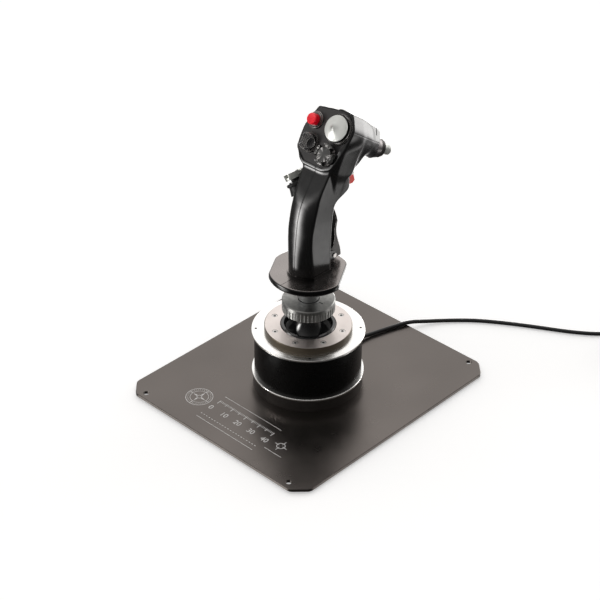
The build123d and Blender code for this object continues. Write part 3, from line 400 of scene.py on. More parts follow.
LOOK = {
    "plate": finish(
        "plate_anodised", (0.142, 0.127, 0.118), 0.30, 1.0, (14, 0.08), (2200, 0.0015), 0.03,
    ),
    "pad": finish("pad_rubber", (0.03, 0.03, 0.03), 0.85, 0, (90, 0.2), (1500, 0.05)),
    "housing": finish(
        "housing_black", (0.002, 0.002, 0.002), 0.30, 0.0, (40, 0.25), (1800, 0.003),
        Specular_IOR_Level=0.2,
    ),
    "skirt": finish("skirt_anodised", (0.07, 0.064, 0.06), 0.34, 0.8, (30, 0.2), (1800, 0.003)),
    "bright": turned("turned_aluminium", (0.93, 0.92, 0.90), 0.24, 1800, 0.002),
    # the flange's sides are painted dark brown: painted shade standing in for the dark reflections on them
    "warm": finish(
        "blasted_aluminium", (0.74, 0.68, 0.65), 0.40, 1.0, (50, 0.05), (4200, 0.010),
        shaded_side_color=(0.12, 0.10, 0.075),
    ),
    "screw": finish("screw_steel", (0.62, 0.60, 0.58), 0.3, 1.0, (400, 0.15), (6000, 0.004)),
    # black for the cover screws, and painted shade in the flange screws' sockets
    "socket": finish("black_screws_and_socket_shade", (0.008, 0.008, 0.008), 0.4, 0.0, (300, 0.2), (3000, 0.01)),
    "collar": finish("collar_cast", (0.31, 0.31, 0.30), 0.32, 1.0, (300, 0.16), (2600, 0.010)),
    "spigot": turned("spigot_steel", (0.62, 0.63, 0.64), 0.22, 1200, 0.004),
    "alloy": finish("gimbal_alloy", (0.6, 0.6, 0.61), 0.35, 1.0, (120, 0.1), (2500, 0.006)),
    "bronze": finish("bush_bronze", (0.62, 0.42, 0.18), 0.35, 1.0, (300, 0.2), (2500, 0.01)),
    "spring": finish("spring_steel", (0.42, 0.42, 0.43), 0.25, 1.0, (400, 0.15), (3000, 0.004)),
    "magnet": finish("magnet_nickel", (0.7, 0.7, 0.71), 0.15, 1.0, (300, 0.05), (3000, 0.002)),
    "board": finish("board_mask", (0.012, 0.13, 0.05), 0.3, 0.0, (500, 0.25), (2500, 0.01)),
    "ball": finish(
        "ball_black", (0.006, 0.006, 0.007), 0.14, 0.0, (50, 0.2), (1500, 0.002),
        Coat_Weight=0.5,
    ),
    # the rest's sides are painted near black under its grey metal top: painted shade on one material
    "rest": finish(
        "rest_black", (0.27, 0.245, 0.235), 0.25, 1.0, (40, 0.06), (2600, 0.001),
        shaded_side_color=(0.006, 0.006, 0.006), Coat_Weight=0.6, Coat_Roughness=0.12,
    ),
    "grip": finish("grip_black", (0.003, 0.003, 0.003), 0.20, 0.0, (45, 0.25), (3200, 0.0010), 0.02),
    "face": finish("face_black", (0.020, 0.018, 0.018), 0.42, 0.0, (60, 0.2), (3600, 0.006)),
    # the edge colours below are painted highlight along sharp edges, partly standing for rubbed wear
    "bezel": finish(
        "bezel_black", (0.008, 0.008, 0.008), 0.22, 0.2, (90, 0.2), (2600, 0.003),
        edge=(0.4, (0.45, 0.42, 0.40)),
    ),
    "castle": finish(
        "castle_grey", (0.045, 0.045, 0.043), 0.34, 0.3, (120, 0.2), (3200, 0.006),
        edge=(0.16, (0.40, 0.38, 0.37)),
    ),
    "scoop": finish(
        "scoop_black", (0.015, 0.015, 0.017), 0.16, 0.2, (120, 0.2), (2600, 0.003),
        edge=(0.35, (0.5, 0.48, 0.46)),
    ),
    "side_hat": finish(
        "side_hat_grey", (0.30, 0.305, 0.285), 0.32, 0.6, (150, 0.12), (2600, 0.004),
        edge=(0.5, (0.7, 0.7, 0.66)),
    ),
    "nut": finish(
        "nut_dark", (0.14, 0.13, 0.13), 0.20, 1.0, (200, 0.2), (2600, 0.002),
        edge=(0.3, (0.6, 0.58, 0.56)),
    ),
    "red": finish("button_red", (0.90, 0.002, 0.02), 0.30, 0.0, (150, 0.08), (2600, 0.003)),
    "trigger": finish("trigger_red", (0.72, 0.045, 0.035), 0.35, 0.0, (120, 0.1), (2600, 0.004)),
    "tip": finish("tip_satin", (0.74, 0.75, 0.72), 0.32, 0.8, (200, 0.06), (2600, 0.003)),
    "paddle": finish(
        "paddle_grey", (0.045, 0.043, 0.042), 0.24, 0.8, (90, 0.2), (2400, 0.003),
        edge=(0.4, (0.6, 0.57, 0.55)),
    ),
    "switch": finish(
        "switch_plastic", (0.012, 0.012, 0.012), 0.5, 0.0, (200, 0.2), (2000, 0.02),
        Specular_IOR_Level=0.2,
    ),
    "white": finish("ring_plastic", (0.6, 0.6, 0.57), 0.45, 0.0, (200, 0.1), (2000, 0.02)),
    "print": finish("plate_print", (0.85, 0.84, 0.83), 0.6, 0.0, (900, 0.12), (6000, 0.003)),
    "cord": finish("cord_rubber", (0.010, 0.010, 0.010), 0.36, 0.0, (150, 0.2), (3500, 0.004)),
    "plug_metal": finish("plug_nickel", (0.72, 0.72, 0.73), 0.2, 1.0, (300, 0.08), (3000, 0.004)),
}


def dome_paint_with_shaded_apex(name, light, dark, apex, reach):
    """Silver-white paint with painted shade: it darkens round a point beside the hat's apex, standing in
    for the shaded side of the dome's peak.
    """
    made = finish(name, light, 0.33, 0.25, (160, 0.03), (2600, 0.006), 0.03)
    tree = made.node_tree
    shader = tree.nodes["Principled BSDF"]
    away = add_node(tree, "ShaderNodeVectorMath", operation="DISTANCE")
    away.inputs[1].default_value = apex
    source = add_node(tree, "ShaderNodeTexCoord")
    tree.links.new(source.outputs["Object"], away.inputs[0])
    near = remap(tree, away.outputs["Value"], 1.0, 0.0, 0.0, reach * MM)
    curve = add_node(tree, "ShaderNodeMath", operation="POWER")
    curve.inputs[1].default_value = 1.6
    tree.links.new(near, curve.inputs[0])
    before = shader.inputs["Base Color"].links[0].from_socket
    tree.links.new(blend_color(tree, curve.outputs[0], before, dark), shader.inputs["Base Color"])
    return made


# ------------------------------------------------------------------ cord
CORD_R = 2.0
CORD_ROUTE = [
    (-8.0, 61.65, 11.5),
    (-7.5, 73.0, 10.2),
    (-5.2, 88.0, 7.6),
    (-1.0, 103.5, 7.4),
    (3.6, 119.0, 7.3),
    (9.4, 135.5, 7.6),
    (17.0, 152.0, 3.6),
    (30.0, 170.0, 2.2),
    (50.0, 190.0, 2.1),
    (76.0, 208.0, 2.2),
    (104.0, 225.0, 2.1),
    (133.0, 241.0, 2.2),
    (158.0, 260.0, 2.1),
]
DESCENT = [
    (28.9, -3.0, 14.3),
    (28.9, -8.0, 13.2),
    (29.4, -12.5, 10.0),
    (29.3, -16.6, 6.2),
    (27.0, -20.3, 4.5),
]
coil_low, coil_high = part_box("cord_coil")
COIL = (coil_low + coil_high) / 2
COIL_OUTER = (coil_high.x - coil_low.x) / 2 / MM - CORD_R - 1.0
COIL_INNER = COIL_OUTER - 12.5
LAYER_STEPS = (46, 46, 46, 29)
POINTS_PER_TURN = 16
COIL_START = math.radians(150)
# the curve cuts inside its control points by this share
INSIDE_CORNERS = math.cos(math.pi / POINTS_PER_TURN) ** 0.75


def coil_points(start_angle):
    """Clockwise turns, inwards and outwards in layers, each a diameter over the last."""
    points = []
    angle = start_angle
    radius = COIL_OUTER
    height = CORD_R + 0.35
    for number, steps in enumerate(LAYER_STEPS):
        inwards = number % 2 == 0
        target = COIL_INNER if inwards else COIL_OUTER
        rise = POINTS_PER_TURN // 4 if number else 0
        begin = radius
        for k in range(1, steps + 1):
            angle -= 2 * math.pi / POINTS_PER_TURN
            radius = begin + (target - begin) * k / steps
            lift = 2 * CORD_R * (number - 1 + min(1.0, k / rise)) if number else 0.0
            wide = radius / INSIDE_CORNERS
            points.append((wide * math.cos(angle), wide * math.sin(angle), height + lift))
    return points


plug_low, plug_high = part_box("usb_plug")
PLUG_HEIGHT = 4.3
PLUG = Vector(((plug_low.x + plug_high.x) / 2, plug_high.y, PLUG_HEIGHT * MM))
coil = [Vector((COIL.x / MM + x, COIL.y / MM + y, z)) for x, y, z in coil_points(COIL_START)]
falling = [Vector((COIL.x / MM + x, COIL.y / MM + y, z)) for x, y, z in DESCENT]
tail = [PLUG / MM]
cord_curve = bpy.data.curves.new("usb_lead", "CURVE")
cord_curve.dimensions = "3D"
cord_line = cord_curve.splines.new("NURBS")
route = [Vector(p) for p in CORD_ROUTE] + coil + falling + tail
cord_line.points.add(len(route) - 1)
for made, point in zip(cord_line.points, route):
    made.co = (*(point * MM), 1)
cord_line.order_u = 3
cord_line.use_endpoint_u = True
cord_line.resolution_u = 6
cord_curve.bevel_depth = CORD_R * MM
cord_curve.bevel_resolution = 5
cord_curve.use_fill_caps = True
usb_lead = bpy.data.objects.new("usb_lead", cord_curve)
scene.collection.objects.link(usb_lead)
put_on(usb_lead, "base", LOOK["cord"], "cord_black", "usb_cord", "cord_coil")

# the tie round the coil, and the plug at the lead's end
tie_spot = Vector((COIL.x, COIL.y - (COIL_OUTER + COIL_INNER) / 2 * MM, 0))
tie_at = plane(tie_spot, (0, 1, 0), (1, 0, 0))
TIE_BAND = (COIL_OUTER - COIL_INNER) / 2 + CORD_R + 0.45
tie_outer = rounded(box_outline(2 * TIE_BAND, 16.2, 0, 8.2), 4)
tie_inner = rounded(box_outline(2 * TIE_BAND - 0.9, 15.3, 0, 8.2), 3.6)
cord_tie = combine(prism("cord_tie", tie_outer, tie_at, -3, 3), [prism("hole", tie_inner, tie_at, -4, 4)])
put_on(shade(soften(cord_tie, 0.25)), "base", LOOK["cord"], "cord_black")

usb_body = shade(soften(twin("usb_plug", "usb_plug_moulded"), 0.5))
put_on(usb_body, "base", LOOK["cord"], "cord_black", "usb_plug")
usb_shell = shade(soften(twin("plug_shell", "usb_plug_shell"), 0.2))
put_on(usb_shell, "base", LOOK["plug_metal"], "plug_metal", "plug_shell")

# ------------------------------------------------------------------ grip skin
# The skin is one smooth field, in millimetres from the stick's axis and the plate's top, negative inside.
FACE_OUTLINE = [
    (14.5, -1.0), (13.6, 4.6), (6.8, 14.6), (-4.0, 16.0), (-31.0, 11.5),
    (-38.0, -9.0), (-36.5, -28.0), (-24.0, -38.0), (-1.0, -38.0), (6.5, -34.0),
]
RIM = 1.2
SEAM_UP = 2.2
GRIP_FOOT = 127.0
HEAD_MM = (HEAD - AXIS_POINT) / MM


GRID_STEP = 0.25


def run(rows, column, soft):
    """A smooth function of a table's first column through another of its columns."""
    places = np.array([row[0] for row in rows], float)
    values = np.array([row[column] for row in rows], float)
    grid = np.arange(places[0], places[-1], GRID_STEP)
    line = np.interp(grid, places, values)
    reach = int(3 * soft / GRID_STEP)
    weights = np.exp(-0.5 * (np.arange(-reach, reach + 1) * GRID_STEP / soft) ** 2)
    padded = np.pad(line, reach, mode="edge")
    line = np.convolve(padded, weights / weights.sum(), mode="valid")
    return lambda t: np.interp(t, grid, line)


# height, half width, back, back corner, shoulder, front
COLUMN = [
    (120, 15.3, -20.2, -10.3, 12.6, 18.2),
    (129, 15.3, -20.0, -10.7, 12.6, 18.2),
    (148, 15.4, -19.4, -13.0, 12.6, 18.0),
    (159, 15.5, -18.6, -14.0, 12.6, 18.0),
    (171, 15.6, -17.5, -13.6, 13.0, 18.4),
    (180, 15.8, -16.3, -11.8, 13.9, 19.4),
    (188, 15.9, -14.4, -10.0, 14.6, 20.4),
    (193.5, 16.0, -12.6, -8.4, 17.0, 21.6),
    (196.5, 16.0, -11.3, -7.6, 21.0, 25.0),
    (199, 16.0, -10.4, -7.0, 28.6, 32.4),
    (202, 16.0, -9.1, -6.1, 34.8, 39.0),
    (205, 16.0, -7.8, -5.2, 35.4, 39.8),
    (213, 16.0, -4.0, -1.6, 35.0, 39.8),
    (221, 16.0, 0.6, 2.3, 35.6, 41.0),
    (232, 16.0, 8.4, 9.4, 38.0, 44.0),
    (244, 15.0, 18.0, 19.0, 38.0, 44.0),
    (252, 13.0, 24.0, 25.0, 38.0, 44.0),
]
COLUMN_RUNS = [run(COLUMN, i, 1.1) for i in range(1, 6)]

# depth behind the face, size, and the point that it shrinks towards
HEAD_SHRINK = [
    (-5, 1.0, 0, 0),
    (0, 1.0, 0, 0),
    (16, 0.97, 2, 0),
    (25, 0.88, 5, -1),
    (33, 0.72, 8, -2),
    (38, 0.45, 8, -2),
    (42, 0.2, 8, -2),
]
HEAD_RUNS = [run(HEAD_SHRINK, i, 1.5) for i in range(1, 4)]

# depth behind the face, half width, top, bottom, distance of the inclined upper panel
BARREL = [
    (-2, 13.9, 16.0, -15.0, 13.3),
    (5, 13.9, 16.0, -15.0, 13.2),
    (18, 13.6, 15.4, -14.6, 12.8),
    (30, 13.2, 14.9, -14.2, 12.4),
    (42, 12.6, 13.9, -13.5, 11.9),
    (48, 12.0, 12.6, -13.4, 11.3),
    (54, 11.2, 10.2, -13.8, 10.4),
    (60, 10.6, 7.6, -14.0, 9.4),
]
PANEL_TILT = math.radians(28)
BARREL_RUNS = [run(BARREL, i, 1.6) for i in range(1, 5)]
SLEEVE_R = 6.0
NOSE_DIR = -Vector(JOINTS["tip_button_press"]["axis"]).normalized()
NOSE_SHIFT = (0.3, -3.3, 54.0)
NOSE_MM = HEAD_MM + FACE_UP * NOSE_SHIFT[1] - FACE_OUT * NOSE_SHIFT[2] + Vector((NOSE_SHIFT[0], 0, 0))
NOSE_BACK = plane(AXIS_POINT + NOSE_MM * MM, FACE_UP.cross(NOSE_DIR), -NOSE_DIR)

# the swelling of the right side under the face: its outline from the side, forward and up
CHEEK = [
    (12.0, 226.0), (14.0, 203.0), (20.0, 199.0), (27.0, 200.4), (31.4, 204.6),
    (32.6, 213.0), (35.6, 219.0), (40.0, 226.0), (40.0, 244.0), (20.0, 246.0),
]
CHEEK_LEFT = -15.6
CHEEK_RIGHT = 20.8
CHEEK_SLOPE = (0.98, -0.06, -0.17)
CHEEK_AT = (15.7, 25, 205)
COLUMN_TOP = 250.0
FACE_SETBACK = 1.2
HEAD_DEPTH = 40


def smooth_max(first, second, k):
    """The larger of two fields, with a rounding of about k where they meet."""
    near = np.maximum(k - np.abs(first - second), 0) / k
    return np.maximum(first, second) + near * near * k / 4


def smooth_min(first, second, k):
    """The smaller of two fields, with a fillet of about k where they meet."""
    return -smooth_max(-first, -second, k)


def convex(x, y, outline, k):
    """Field of a convex outline with rounded corners."""
    middle = np.mean(outline, axis=0)
    walls = []
    for (x0, y0), (x1, y1) in zip(outline, outline[1:] + outline[:1]):
        normal = np.array([y1 - y0, x0 - x1]) / math.hypot(x1 - x0, y1 - y0)
        if normal @ (np.array([x0, y0]) - middle) < 0:
            normal = -normal
        walls.append((x - x0) * normal[0] + (y - y0) * normal[1])
    walls = np.array(walls)
    top = walls.max(axis=0)
    return top + k * np.log(np.exp((walls - top) / k).sum(axis=0))


def column_field(x, y, z):
    """The hand's part of the grip: two bows, back and front, between flat sides."""
    half, back, corner, shoulder, front = (f(z) for f in COLUMN_RUNS)
    ends = []
    for way, tip, side in ((-1, back, corner), (1, front, shoulder)):
        sag = np.maximum((tip - side) * way, 0.8)
        radius = (half**2 + sag**2) / (2 * sag)
        middle = tip - way * radius
        ends.append(np.hypot(x, np.maximum(way * (y - middle), 0)) - radius)
    lobes = smooth_max(ends[0], ends[1], 1.0)
    corner_round = np.where(x < 0, 6.0, 1.6)
    body = smooth_max(lobes, np.abs(x) - half, corner_round)
    return smooth_max(body, GRIP_FOOT - z, 0.5)


def head_field(a, up, depth):
    """The block behind the face, which shrinks as it goes back."""
    size, middle_a, middle_up = (f(depth) for f in HEAD_RUNS)
    across = middle_a + (a - middle_a) / size
    along = middle_up + (up - middle_up) / size
    shape = convex(across, along, FACE_OUTLINE, 0.7) * size - RIM
    return smooth_max(smooth_max(shape, -depth, 0.9), depth - HEAD_DEPTH, 6)


def barrel_field(a, up, depth, end):
    """The barrel that runs forward to the nose, with two inclined panels over a round belly."""
    half, top, bottom, facet = (f(depth) for f in BARREL_RUNS)
    panel = np.abs(a) * math.cos(PANEL_TILT) + up * math.sin(PANEL_TILT) - facet
    shape = smooth_max(smooth_max(np.abs(a) - half, up - top, 1.0), panel, 0.8)
    belly = np.hypot(a, np.minimum(up - (bottom + half), 0)) - half
    shape = smooth_max(shape, belly, 1.5)
    return smooth_max(smooth_max(shape, end, 2.0), -depth, 1.0)


def face_places(x, y, z):
    """Sideways, up and depth behind the face."""
    y, z = y - HEAD_MM.y, z - HEAD_MM.z
    return x - HEAD_MM.x, y * FACE_UP.y + z * FACE_UP.z, -(y * FACE_OUT.y + z * FACE_OUT.z)


def skin_field(points):
    """Distance, more or less, from the grip's skin."""
    x, y, z = points.T
    a, up, depth = face_places(x, y, z)
    column = column_field(x, y, z)
    column = smooth_max(column, -(depth - FACE_SETBACK), 1.5)
    column = smooth_max(column, z - COLUMN_TOP, 2.0)
    head = head_field(a, up, depth)
    end = (points - np.array(NOSE_MM)) @ np.array(NOSE_DIR)
    barrel = barrel_field(a, up, depth, end)
    lean = CHEEK_SLOPE[0] * x + CHEEK_SLOPE[1] * (y - CHEEK_AT[1]) + CHEEK_SLOPE[2] * (z - CHEEK_AT[2])
    right = smooth_max(lean - CHEEK_AT[0], x - CHEEK_RIGHT, 4.0)
    cheek = smooth_max(convex(y, z, CHEEK, 1.5), smooth_max(right, CHEEK_LEFT - x, 1.0), 4.0)
    solid = smooth_min(head, barrel, 5.0)
    solid = smooth_min(solid, cheek, 13.0)
    return smooth_min(solid, column, 2.2)


def relaxed(place, faces, share=1.0):
    """Each point moved towards the mean of its neighbours."""
    one = np.concatenate([faces[:, i] for i in range(4)] * 2)
    two = np.concatenate([faces[:, (i + k) % 4] for k in (1, 3) for i in range(4)])
    count = np.bincount(one, minlength=len(place))
    mean = [np.bincount(one, weights=place[two, axis], minlength=len(place)) / count for axis in range(3)]
    return place + (np.array(mean).T - place) * share


def slope_of(field, place, step=0.05):
    """The field's slope at each point."""
    ahead = [field(place + step * axis) - field(place - step * axis) for axis in np.eye(3)]
    return np.array(ahead).T / (2 * step)


def drawn(place, field, level):
    """Each point moved along the field's slope onto its surface."""
    value = field(place) - level
    slope = slope_of(field, place)
    size = np.maximum((slope**2).sum(axis=1), 0.2)
    push = np.clip(value / size, -1.5, 1.5)
    return place - slope * push[:, None]


def field_skin(name, field, low, high, cell, level=0.0, rounds=8):
    """Closed mesh of a field's surface: one point in each cell that it crosses, drawn onto the surface."""
    axes = [np.arange(a, b, cell) for a, b in zip(low, high)]
    inside = np.zeros([len(axis) for axis in axes], bool)
    slab = np.stack(np.meshgrid([0.0], axes[1], axes[2], indexing="ij"), axis=-1).reshape(-1, 3)
    for i in range(1, len(axes[0]) - 1):
        slab[:, 0] = axes[0][i]
        inside[i, 1:-1, 1:-1] = (field(slab) < level).reshape(inside.shape[1:])[1:-1, 1:-1]
    nx, ny, nz = (n - 1 for n in inside.shape)
    eight = [inside[i : i + nx, j : j + ny, k : k + nz] for i in (0, 1) for j in (0, 1) for k in (0, 1)]
    filled = sum(part.astype(int) for part in eight)
    crossed = (filled > 0) & (filled < 8)
    number = np.full(crossed.shape, -1)
    number[crossed] = np.arange(crossed.sum())
    place = (np.argwhere(crossed) + 0.5) * cell + np.array(low)
    faces = []
    for axis in range(3):
        spots = np.argwhere(inside != np.roll(inside, -1, axis=axis))
        around = np.roll(np.eye(3, dtype=int), -axis, axis=0)
        cells = [spots, spots - around[1], spots - around[1] - around[2], spots - around[2]]
        quads = np.array([number[tuple(c.T)] for c in cells]).T
        outward = inside[tuple(spots.T)]
        quads[~outward] = quads[~outward][:, ::-1]
        faces.append(quads)
    faces = np.concatenate(faces)
    for turn in range(rounds):
        place = relaxed(place, faces, 1.0 if turn < 2 else 0.5)
        place = drawn(place, field, level)
    place = drawn(place, field, level)
    corners = place @ np.array(LEVEL.to_3x3()).T + np.array(LEVEL.translation)
    mesh = bpy.data.meshes.new(name)
    mesh.from_pydata(corners.tolist(), [], faces.tolist())
    obj = bpy.data.objects.new(name, mesh)
    scene.collection.objects.link(obj)
    return obj


GRIP_LOW = (-46.0, -24.0, 122.0)
GRIP_HIGH = (34.0, 96.0, 286.0)
WALL = 2.5
SEAM_GAP = 0.05
FINE, COARSE = ((0.8, 1.8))
skin = field_skin("grip_skin", skin_field, GRIP_LOW, GRIP_HIGH, FINE)
hollow = field_skin("grip_hollow", skin_field, GRIP_LOW, GRIP_HIGH, COARSE, -WALL)

# lugs for the paddle's pin
EAR = [(14, 130), (14, 142), (22, 139.5), (26, 135.5), (25.5, 131.5), (22, 129.5)]
combine(skin, [prism("ear", rounded(EAR, 1.2), SIDE, x, x + 2.8) for x in (-10.6, 7.8)], "UNION")

# openings: the face plate's recess, the trigger's slot, the side hat's boss, the nose, screws and pins
RED_BUTTON = (-28.2, -0.6)
SLOT = [(33.5, 209), (33.5, 222), (52, 224), (60, 205), (60, 195), (42, 204)]
SCREW_SPOTS = [(7.0, 141.0), (8.5, 176.0), (20.0, 205.0)]
TRIGGER_PIVOT = (40.0, 215.5)
PADDLE_PIVOT = (22.5, 134.5)
boss_joint = JOINTS["side_hat_press"]
BOSS_OUT = -Vector(boss_joint["axis"]).normalized()
BOSS_TOP = Vector(JOINTS["side_hat_tilt_up"]["pos_m"]) + BOSS_OUT * 1.5 * MM
BOSS = plane(BOSS_TOP, (0, 1, 0), BOSS_OUT)
face_recess = rounded(FACE_OUTLINE, 4)
face_middle = np.mean(FACE_OUTLINE, axis=0)
face_window = rounded([tuple(face_middle + (np.array(p) - face_middle) * 0.86) for p in FACE_OUTLINE], 4)
tools = [
    hollow,
    prism("recess", face_recess, FACE, -1.6, 5),
    prism("window", face_window, FACE, -6, -1),
    prism("red_hole", circle(6.0, *RED_BUTTON), FACE, -16, 1),
    prism("slot", rounded(SLOT, 1.5), SIDE, -6.5, 6.5),
    prism("boss_hole", circle(8.6), BOSS, -15, 12),
    prism("notch", [(2.6, 15.0), (9.2, 7.6), (12.6, 9.5), (5.5, 18.5)], FACE, -42.6, -41.2),
    prism("boss_relief", circle(11.6), BOSS, -1.0, 13.0),
    prism("nose_hole", circle(SLEEVE_R + 0.05), NOSE_BACK, -5, 8),
]
tools += [prism("screw_hole", circle(2.9, *spot, 32), SIDE, -20, -12.4) for spot in SCREW_SPOTS]
for spot in (TRIGGER_PIVOT, PADDLE_PIVOT):
    tools.append(prism("pin_hole", circle(1.5, *spot, 32), SIDE, -20, 20))
combine(skin, tools)

# the three mouldings, a hair apart along their seams
seam_side = np.array([HEAD_MM.y, HEAD_MM.z]) + SEAM_UP * np.array([FACE_UP.y, FACE_UP.z])
ALONG = np.array([FACE_OUT.y, FACE_OUT.z]) * 200
UPWARD = np.array([FACE_UP.y, FACE_UP.z])
GROOVE = 0.10


def half_space(side, gap):
    """Outline of everything on one side of the cover's seam, gap millimetres away from it."""
    edge = seam_side + UPWARD * gap * side
    far = UPWARD * 200 * side
    return [tuple(edge - ALONG), tuple(edge + ALONG), tuple(edge + ALONG + far), tuple(edge - ALONG + far)]


def moulding(name, node, side, x_low, x_high):
    """One moulding of the grip, its seam edges eased so that the joint shows as a fine groove."""
    piece = bpy.data.objects.new(name, skin.data.copy())
    scene.collection.objects.link(piece)
    combine(piece, [prism("keep", half_space(side, SEAM_GAP), SIDE, x_low, x_high)], "INTERSECT")
    mesh = piece.data
    flat = np.zeros(len(mesh.vertices) * 3, np.float32)
    mesh.vertices.foreach_get("co", flat)
    place = (flat.reshape(-1, 3).astype(float) - np.array(AXIS_POINT)) / MM
    up = face_places(*place.T)[1]
    near = (np.abs(up - SEAM_UP) < SEAM_GAP * 1.6) | ((np.abs(place[:, 0]) < SEAM_GAP * 1.6) & (side < 0))
    edge = near & (np.abs(skin_field(place)) < 0.3)
    place[edge] -= slope_of(skin_field, place[edge]) * GROOVE
    mesh.vertices.foreach_set("co", (place * MM + np.array(AXIS_POINT)).astype(np.float32).ravel())
    mesh.update()
    put_on(shade(piece, 32), "stick", LOOK["grip"], "grip_black", node)


moulding("head_moulding", "head_cover", 1, -60, 60)
moulding("grip_moulding_left", "grip_shell_left", -1, -60, -SEAM_GAP)
moulding("grip_moulding_right", "grip_shell_right", -1, SEAM_GAP, 60)
bpy.data.objects.remove(skin)

# ------------------------------------------------------------------ hats, nuts and the plate's print
def union(parts):
    """Joins closed pieces into the first."""
    return combine(parts[0], parts[1:], "UNION") if len(parts) > 1 else parts[0]


def slots_cut(obj, at, spots, width, length, low, high, first):
    """Cuts straight slots outwards from the middle of a round piece, evenly spaced from the first angle."""
    cutters = []
    for k in range(spots):
        turn = spun(at, first + 2 * math.pi * k / spots)
        cutters.append(prism("cutter", box_outline(length, width, length / 2, 0), turn, low, high))
    return combine(obj, cutters)


STEM = [(0, 0.6), (2.1, 0.6)]
trim_at = hat_plane("trim_hat", HAT_PIVOT)
DOME_R = 10.4
DOME_RIM = 7.3


def dome_height(radius):
    """Height of the trim hat's dome, with a small peak in its middle."""
    return DOME_RIM + 2.1 * (1 - (radius / DOME_R) ** 2) + 2.2 * math.exp(-((radius / 3.4) ** 2))


trim_profile = STEM + [(2.1, 5.3), (11.4, 5.3), (11.9, 5.8), (11.9, 6.5), (11.5, 7.0)]
trim_profile += [(10.8, 7.15), (10.6, 7.0)]
trim_profile += [(radius, dome_height(radius)) for radius in (DOME_R, 9, 8, 7, 6, 5, 4, 3, 2, 1, 0)]
trim_dome = shade(lathe("trim_hat_dome", trim_profile, trim_at), 30)
# the dark spot by the dome's peak, set off to its lower left, is painted shade
LOOK["trim_hat"] = dome_paint_with_shaded_apex(
    "trim_hat_silver", (0.72, 0.73, 0.70), (0.20, 0.21, 0.20), trim_at @ Vector((-1.2, -0.6, 11.4)), 5.2
)
put_on(trim_dome, "trim_hat", LOOK["trim_hat"], "hat_silver", "trim_hat")

castle_at = hat_plane("castle_hat", HAT_PIVOT)
castle_profile = STEM + [(2.1, 2.7), (9.9, 2.7), (10.4, 3.2), (10.4, 6.4), (9.7, 7.2), (7.4, 7.2)]
castle_profile += [(6.9, 6.2), (0, 6.2)]
castle = lathe("castle_hat_top", castle_profile, castle_at)
slots_cut(castle, castle_at, 4, 5.6, 14, 2.7, 9, math.radians(36))
castle_core = lathe("core", [(0, 3), (7.0, 3), (7.0, 6.0), (6.7, 6.3), (0, 6.3)], castle_at)
union([castle, castle_core])
put_on(shade(soften(castle, 0.4)), "castle_hat", LOOK["castle"], "hat_black", "castle_hat")

scoop_at = hat_plane("scoop_hat", HAT_PIVOT)
scoop_profile = STEM + [(2.1, 3.2), (7.7, 3.2), (8.0, 3.5), (8.0, 6.6), (7.0, 7.6), (0, 7.6)]
scoop = lathe("scoop_hat_top", scoop_profile, scoop_at)
BALL_R = 6
latitudes = [0.3 * k for k in range(-4, 5)]
ball = [(0, -BALL_R)] + [(BALL_R * math.cos(t), BALL_R * math.sin(t)) for t in latitudes] + [(0, BALL_R)]
balls = [lathe("ball", ball, moved(scoop_at, way * 8.2, 0, 9.2), 48) for way in (-1, 1)]
ribs = [prism("rib", box_outline(0.8, 18, x, 0), scoop_at, 7.0, 9.0) for x in (-1.7, 0, 1.7)]
combine(scoop, balls + ribs)
put_on(shade(soften(scoop, 0.2)), "scoop_hat", LOOK["scoop"], "hat_black", "scoop_hat")

side_block = twin("side_hat", "side_hat_block")
put_on(shade(soften(side_block, 0.6)), "side_hat", LOOK["side_hat"], "hat_grey", "side_hat")
side_sleeve = ring("side_hat_sleeve", [(2.3, -1.4), (4.8, -1.4), (4.8, 2.3), (2.3, 2.3)], BOSS, 64)
put_on(shade(side_sleeve), "side_hat", LOOK["switch"], "switch_black")
collar_profile = [
    (8.0, -12.0), (8.0, -0.9), (9.8, -0.9), (10.5, -1.6),
    (10.6, -3.4), (9.4, -4.2), (9.6, -6.0), (11.0, -12.0),
]
side_collar = ring("side_hat_collar", collar_profile, BOSS, 64)
put_on(shade(side_collar, 30), "stick", LOOK["switch"], "switch_black")


RING_INNER = 5.35
red_at = moved(FACE, *RED_BUTTON)
red_nut = [
    (RING_INNER, -6.9), (5.95, -6.9), (5.95, 0), (8.2, 0), (8.2, 1.0),
    (7.7, 1.5), (6.9, 1.5), (6.9, 2.0), (6.5, 2.4), (RING_INNER, 2.4),
]
red_ring = ring("red_button_nut", red_nut, red_at)
TIP_INNER = 4.75
nose_cap = [
    (TIP_INNER, 7.9), (SLEEVE_R, 7.9), (SLEEVE_R, 0), (10.5, 0), (10.7, -0.3), (9.5, -5.2), (9.1, -5.5),
    (7.2, -5.5), (7.2, -6.3), (8.6, -6.3), (8.9, -6.6), (8.9, -8.1), (8.4, -8.6), (7.0, -8.6),
    (7.0, -9.3), (7.5, -9.3), (7.7, -9.5), (7.7, -10.7), (7.4, -11.0), (TIP_INNER, -11.0),
]
nose_ring = ring("nose_nut", nose_cap, NOSE_BACK)
nuts = union([red_ring, nose_ring])
nuts.name = "button_nut_pair"
put_on(shade(nuts, 30), "stick", LOOK["nut"], "nut_metal", "button_nuts")
red_cap = lathe(
    "red_button_cap",
    [(0, -6.5), (5.3, -6.5), (5.3, 7.0), (5.1, 7.6), (4.6, 8.0), (3.4, 7.9), (0, 7.6)],
    red_at,
)
put_on(shade(red_cap), "red_button", LOOK["red"], "red_plastic", "red_button")
tip_profile = [
    (0, 7.0), (4.7, 7.0), (4.7, -15.8), (4.4, -16.1), (4.4, -16.5),
    (4.7, -16.8), (4.7, -19.2), (4.1, -20.0), (0, -20.0),
]
tip_cap = lathe("tip_button_cap", tip_profile, NOSE_BACK)
put_on(shade(tip_cap, 30), "tip_button", LOOK["tip"], "tip_silver", "tip_button")

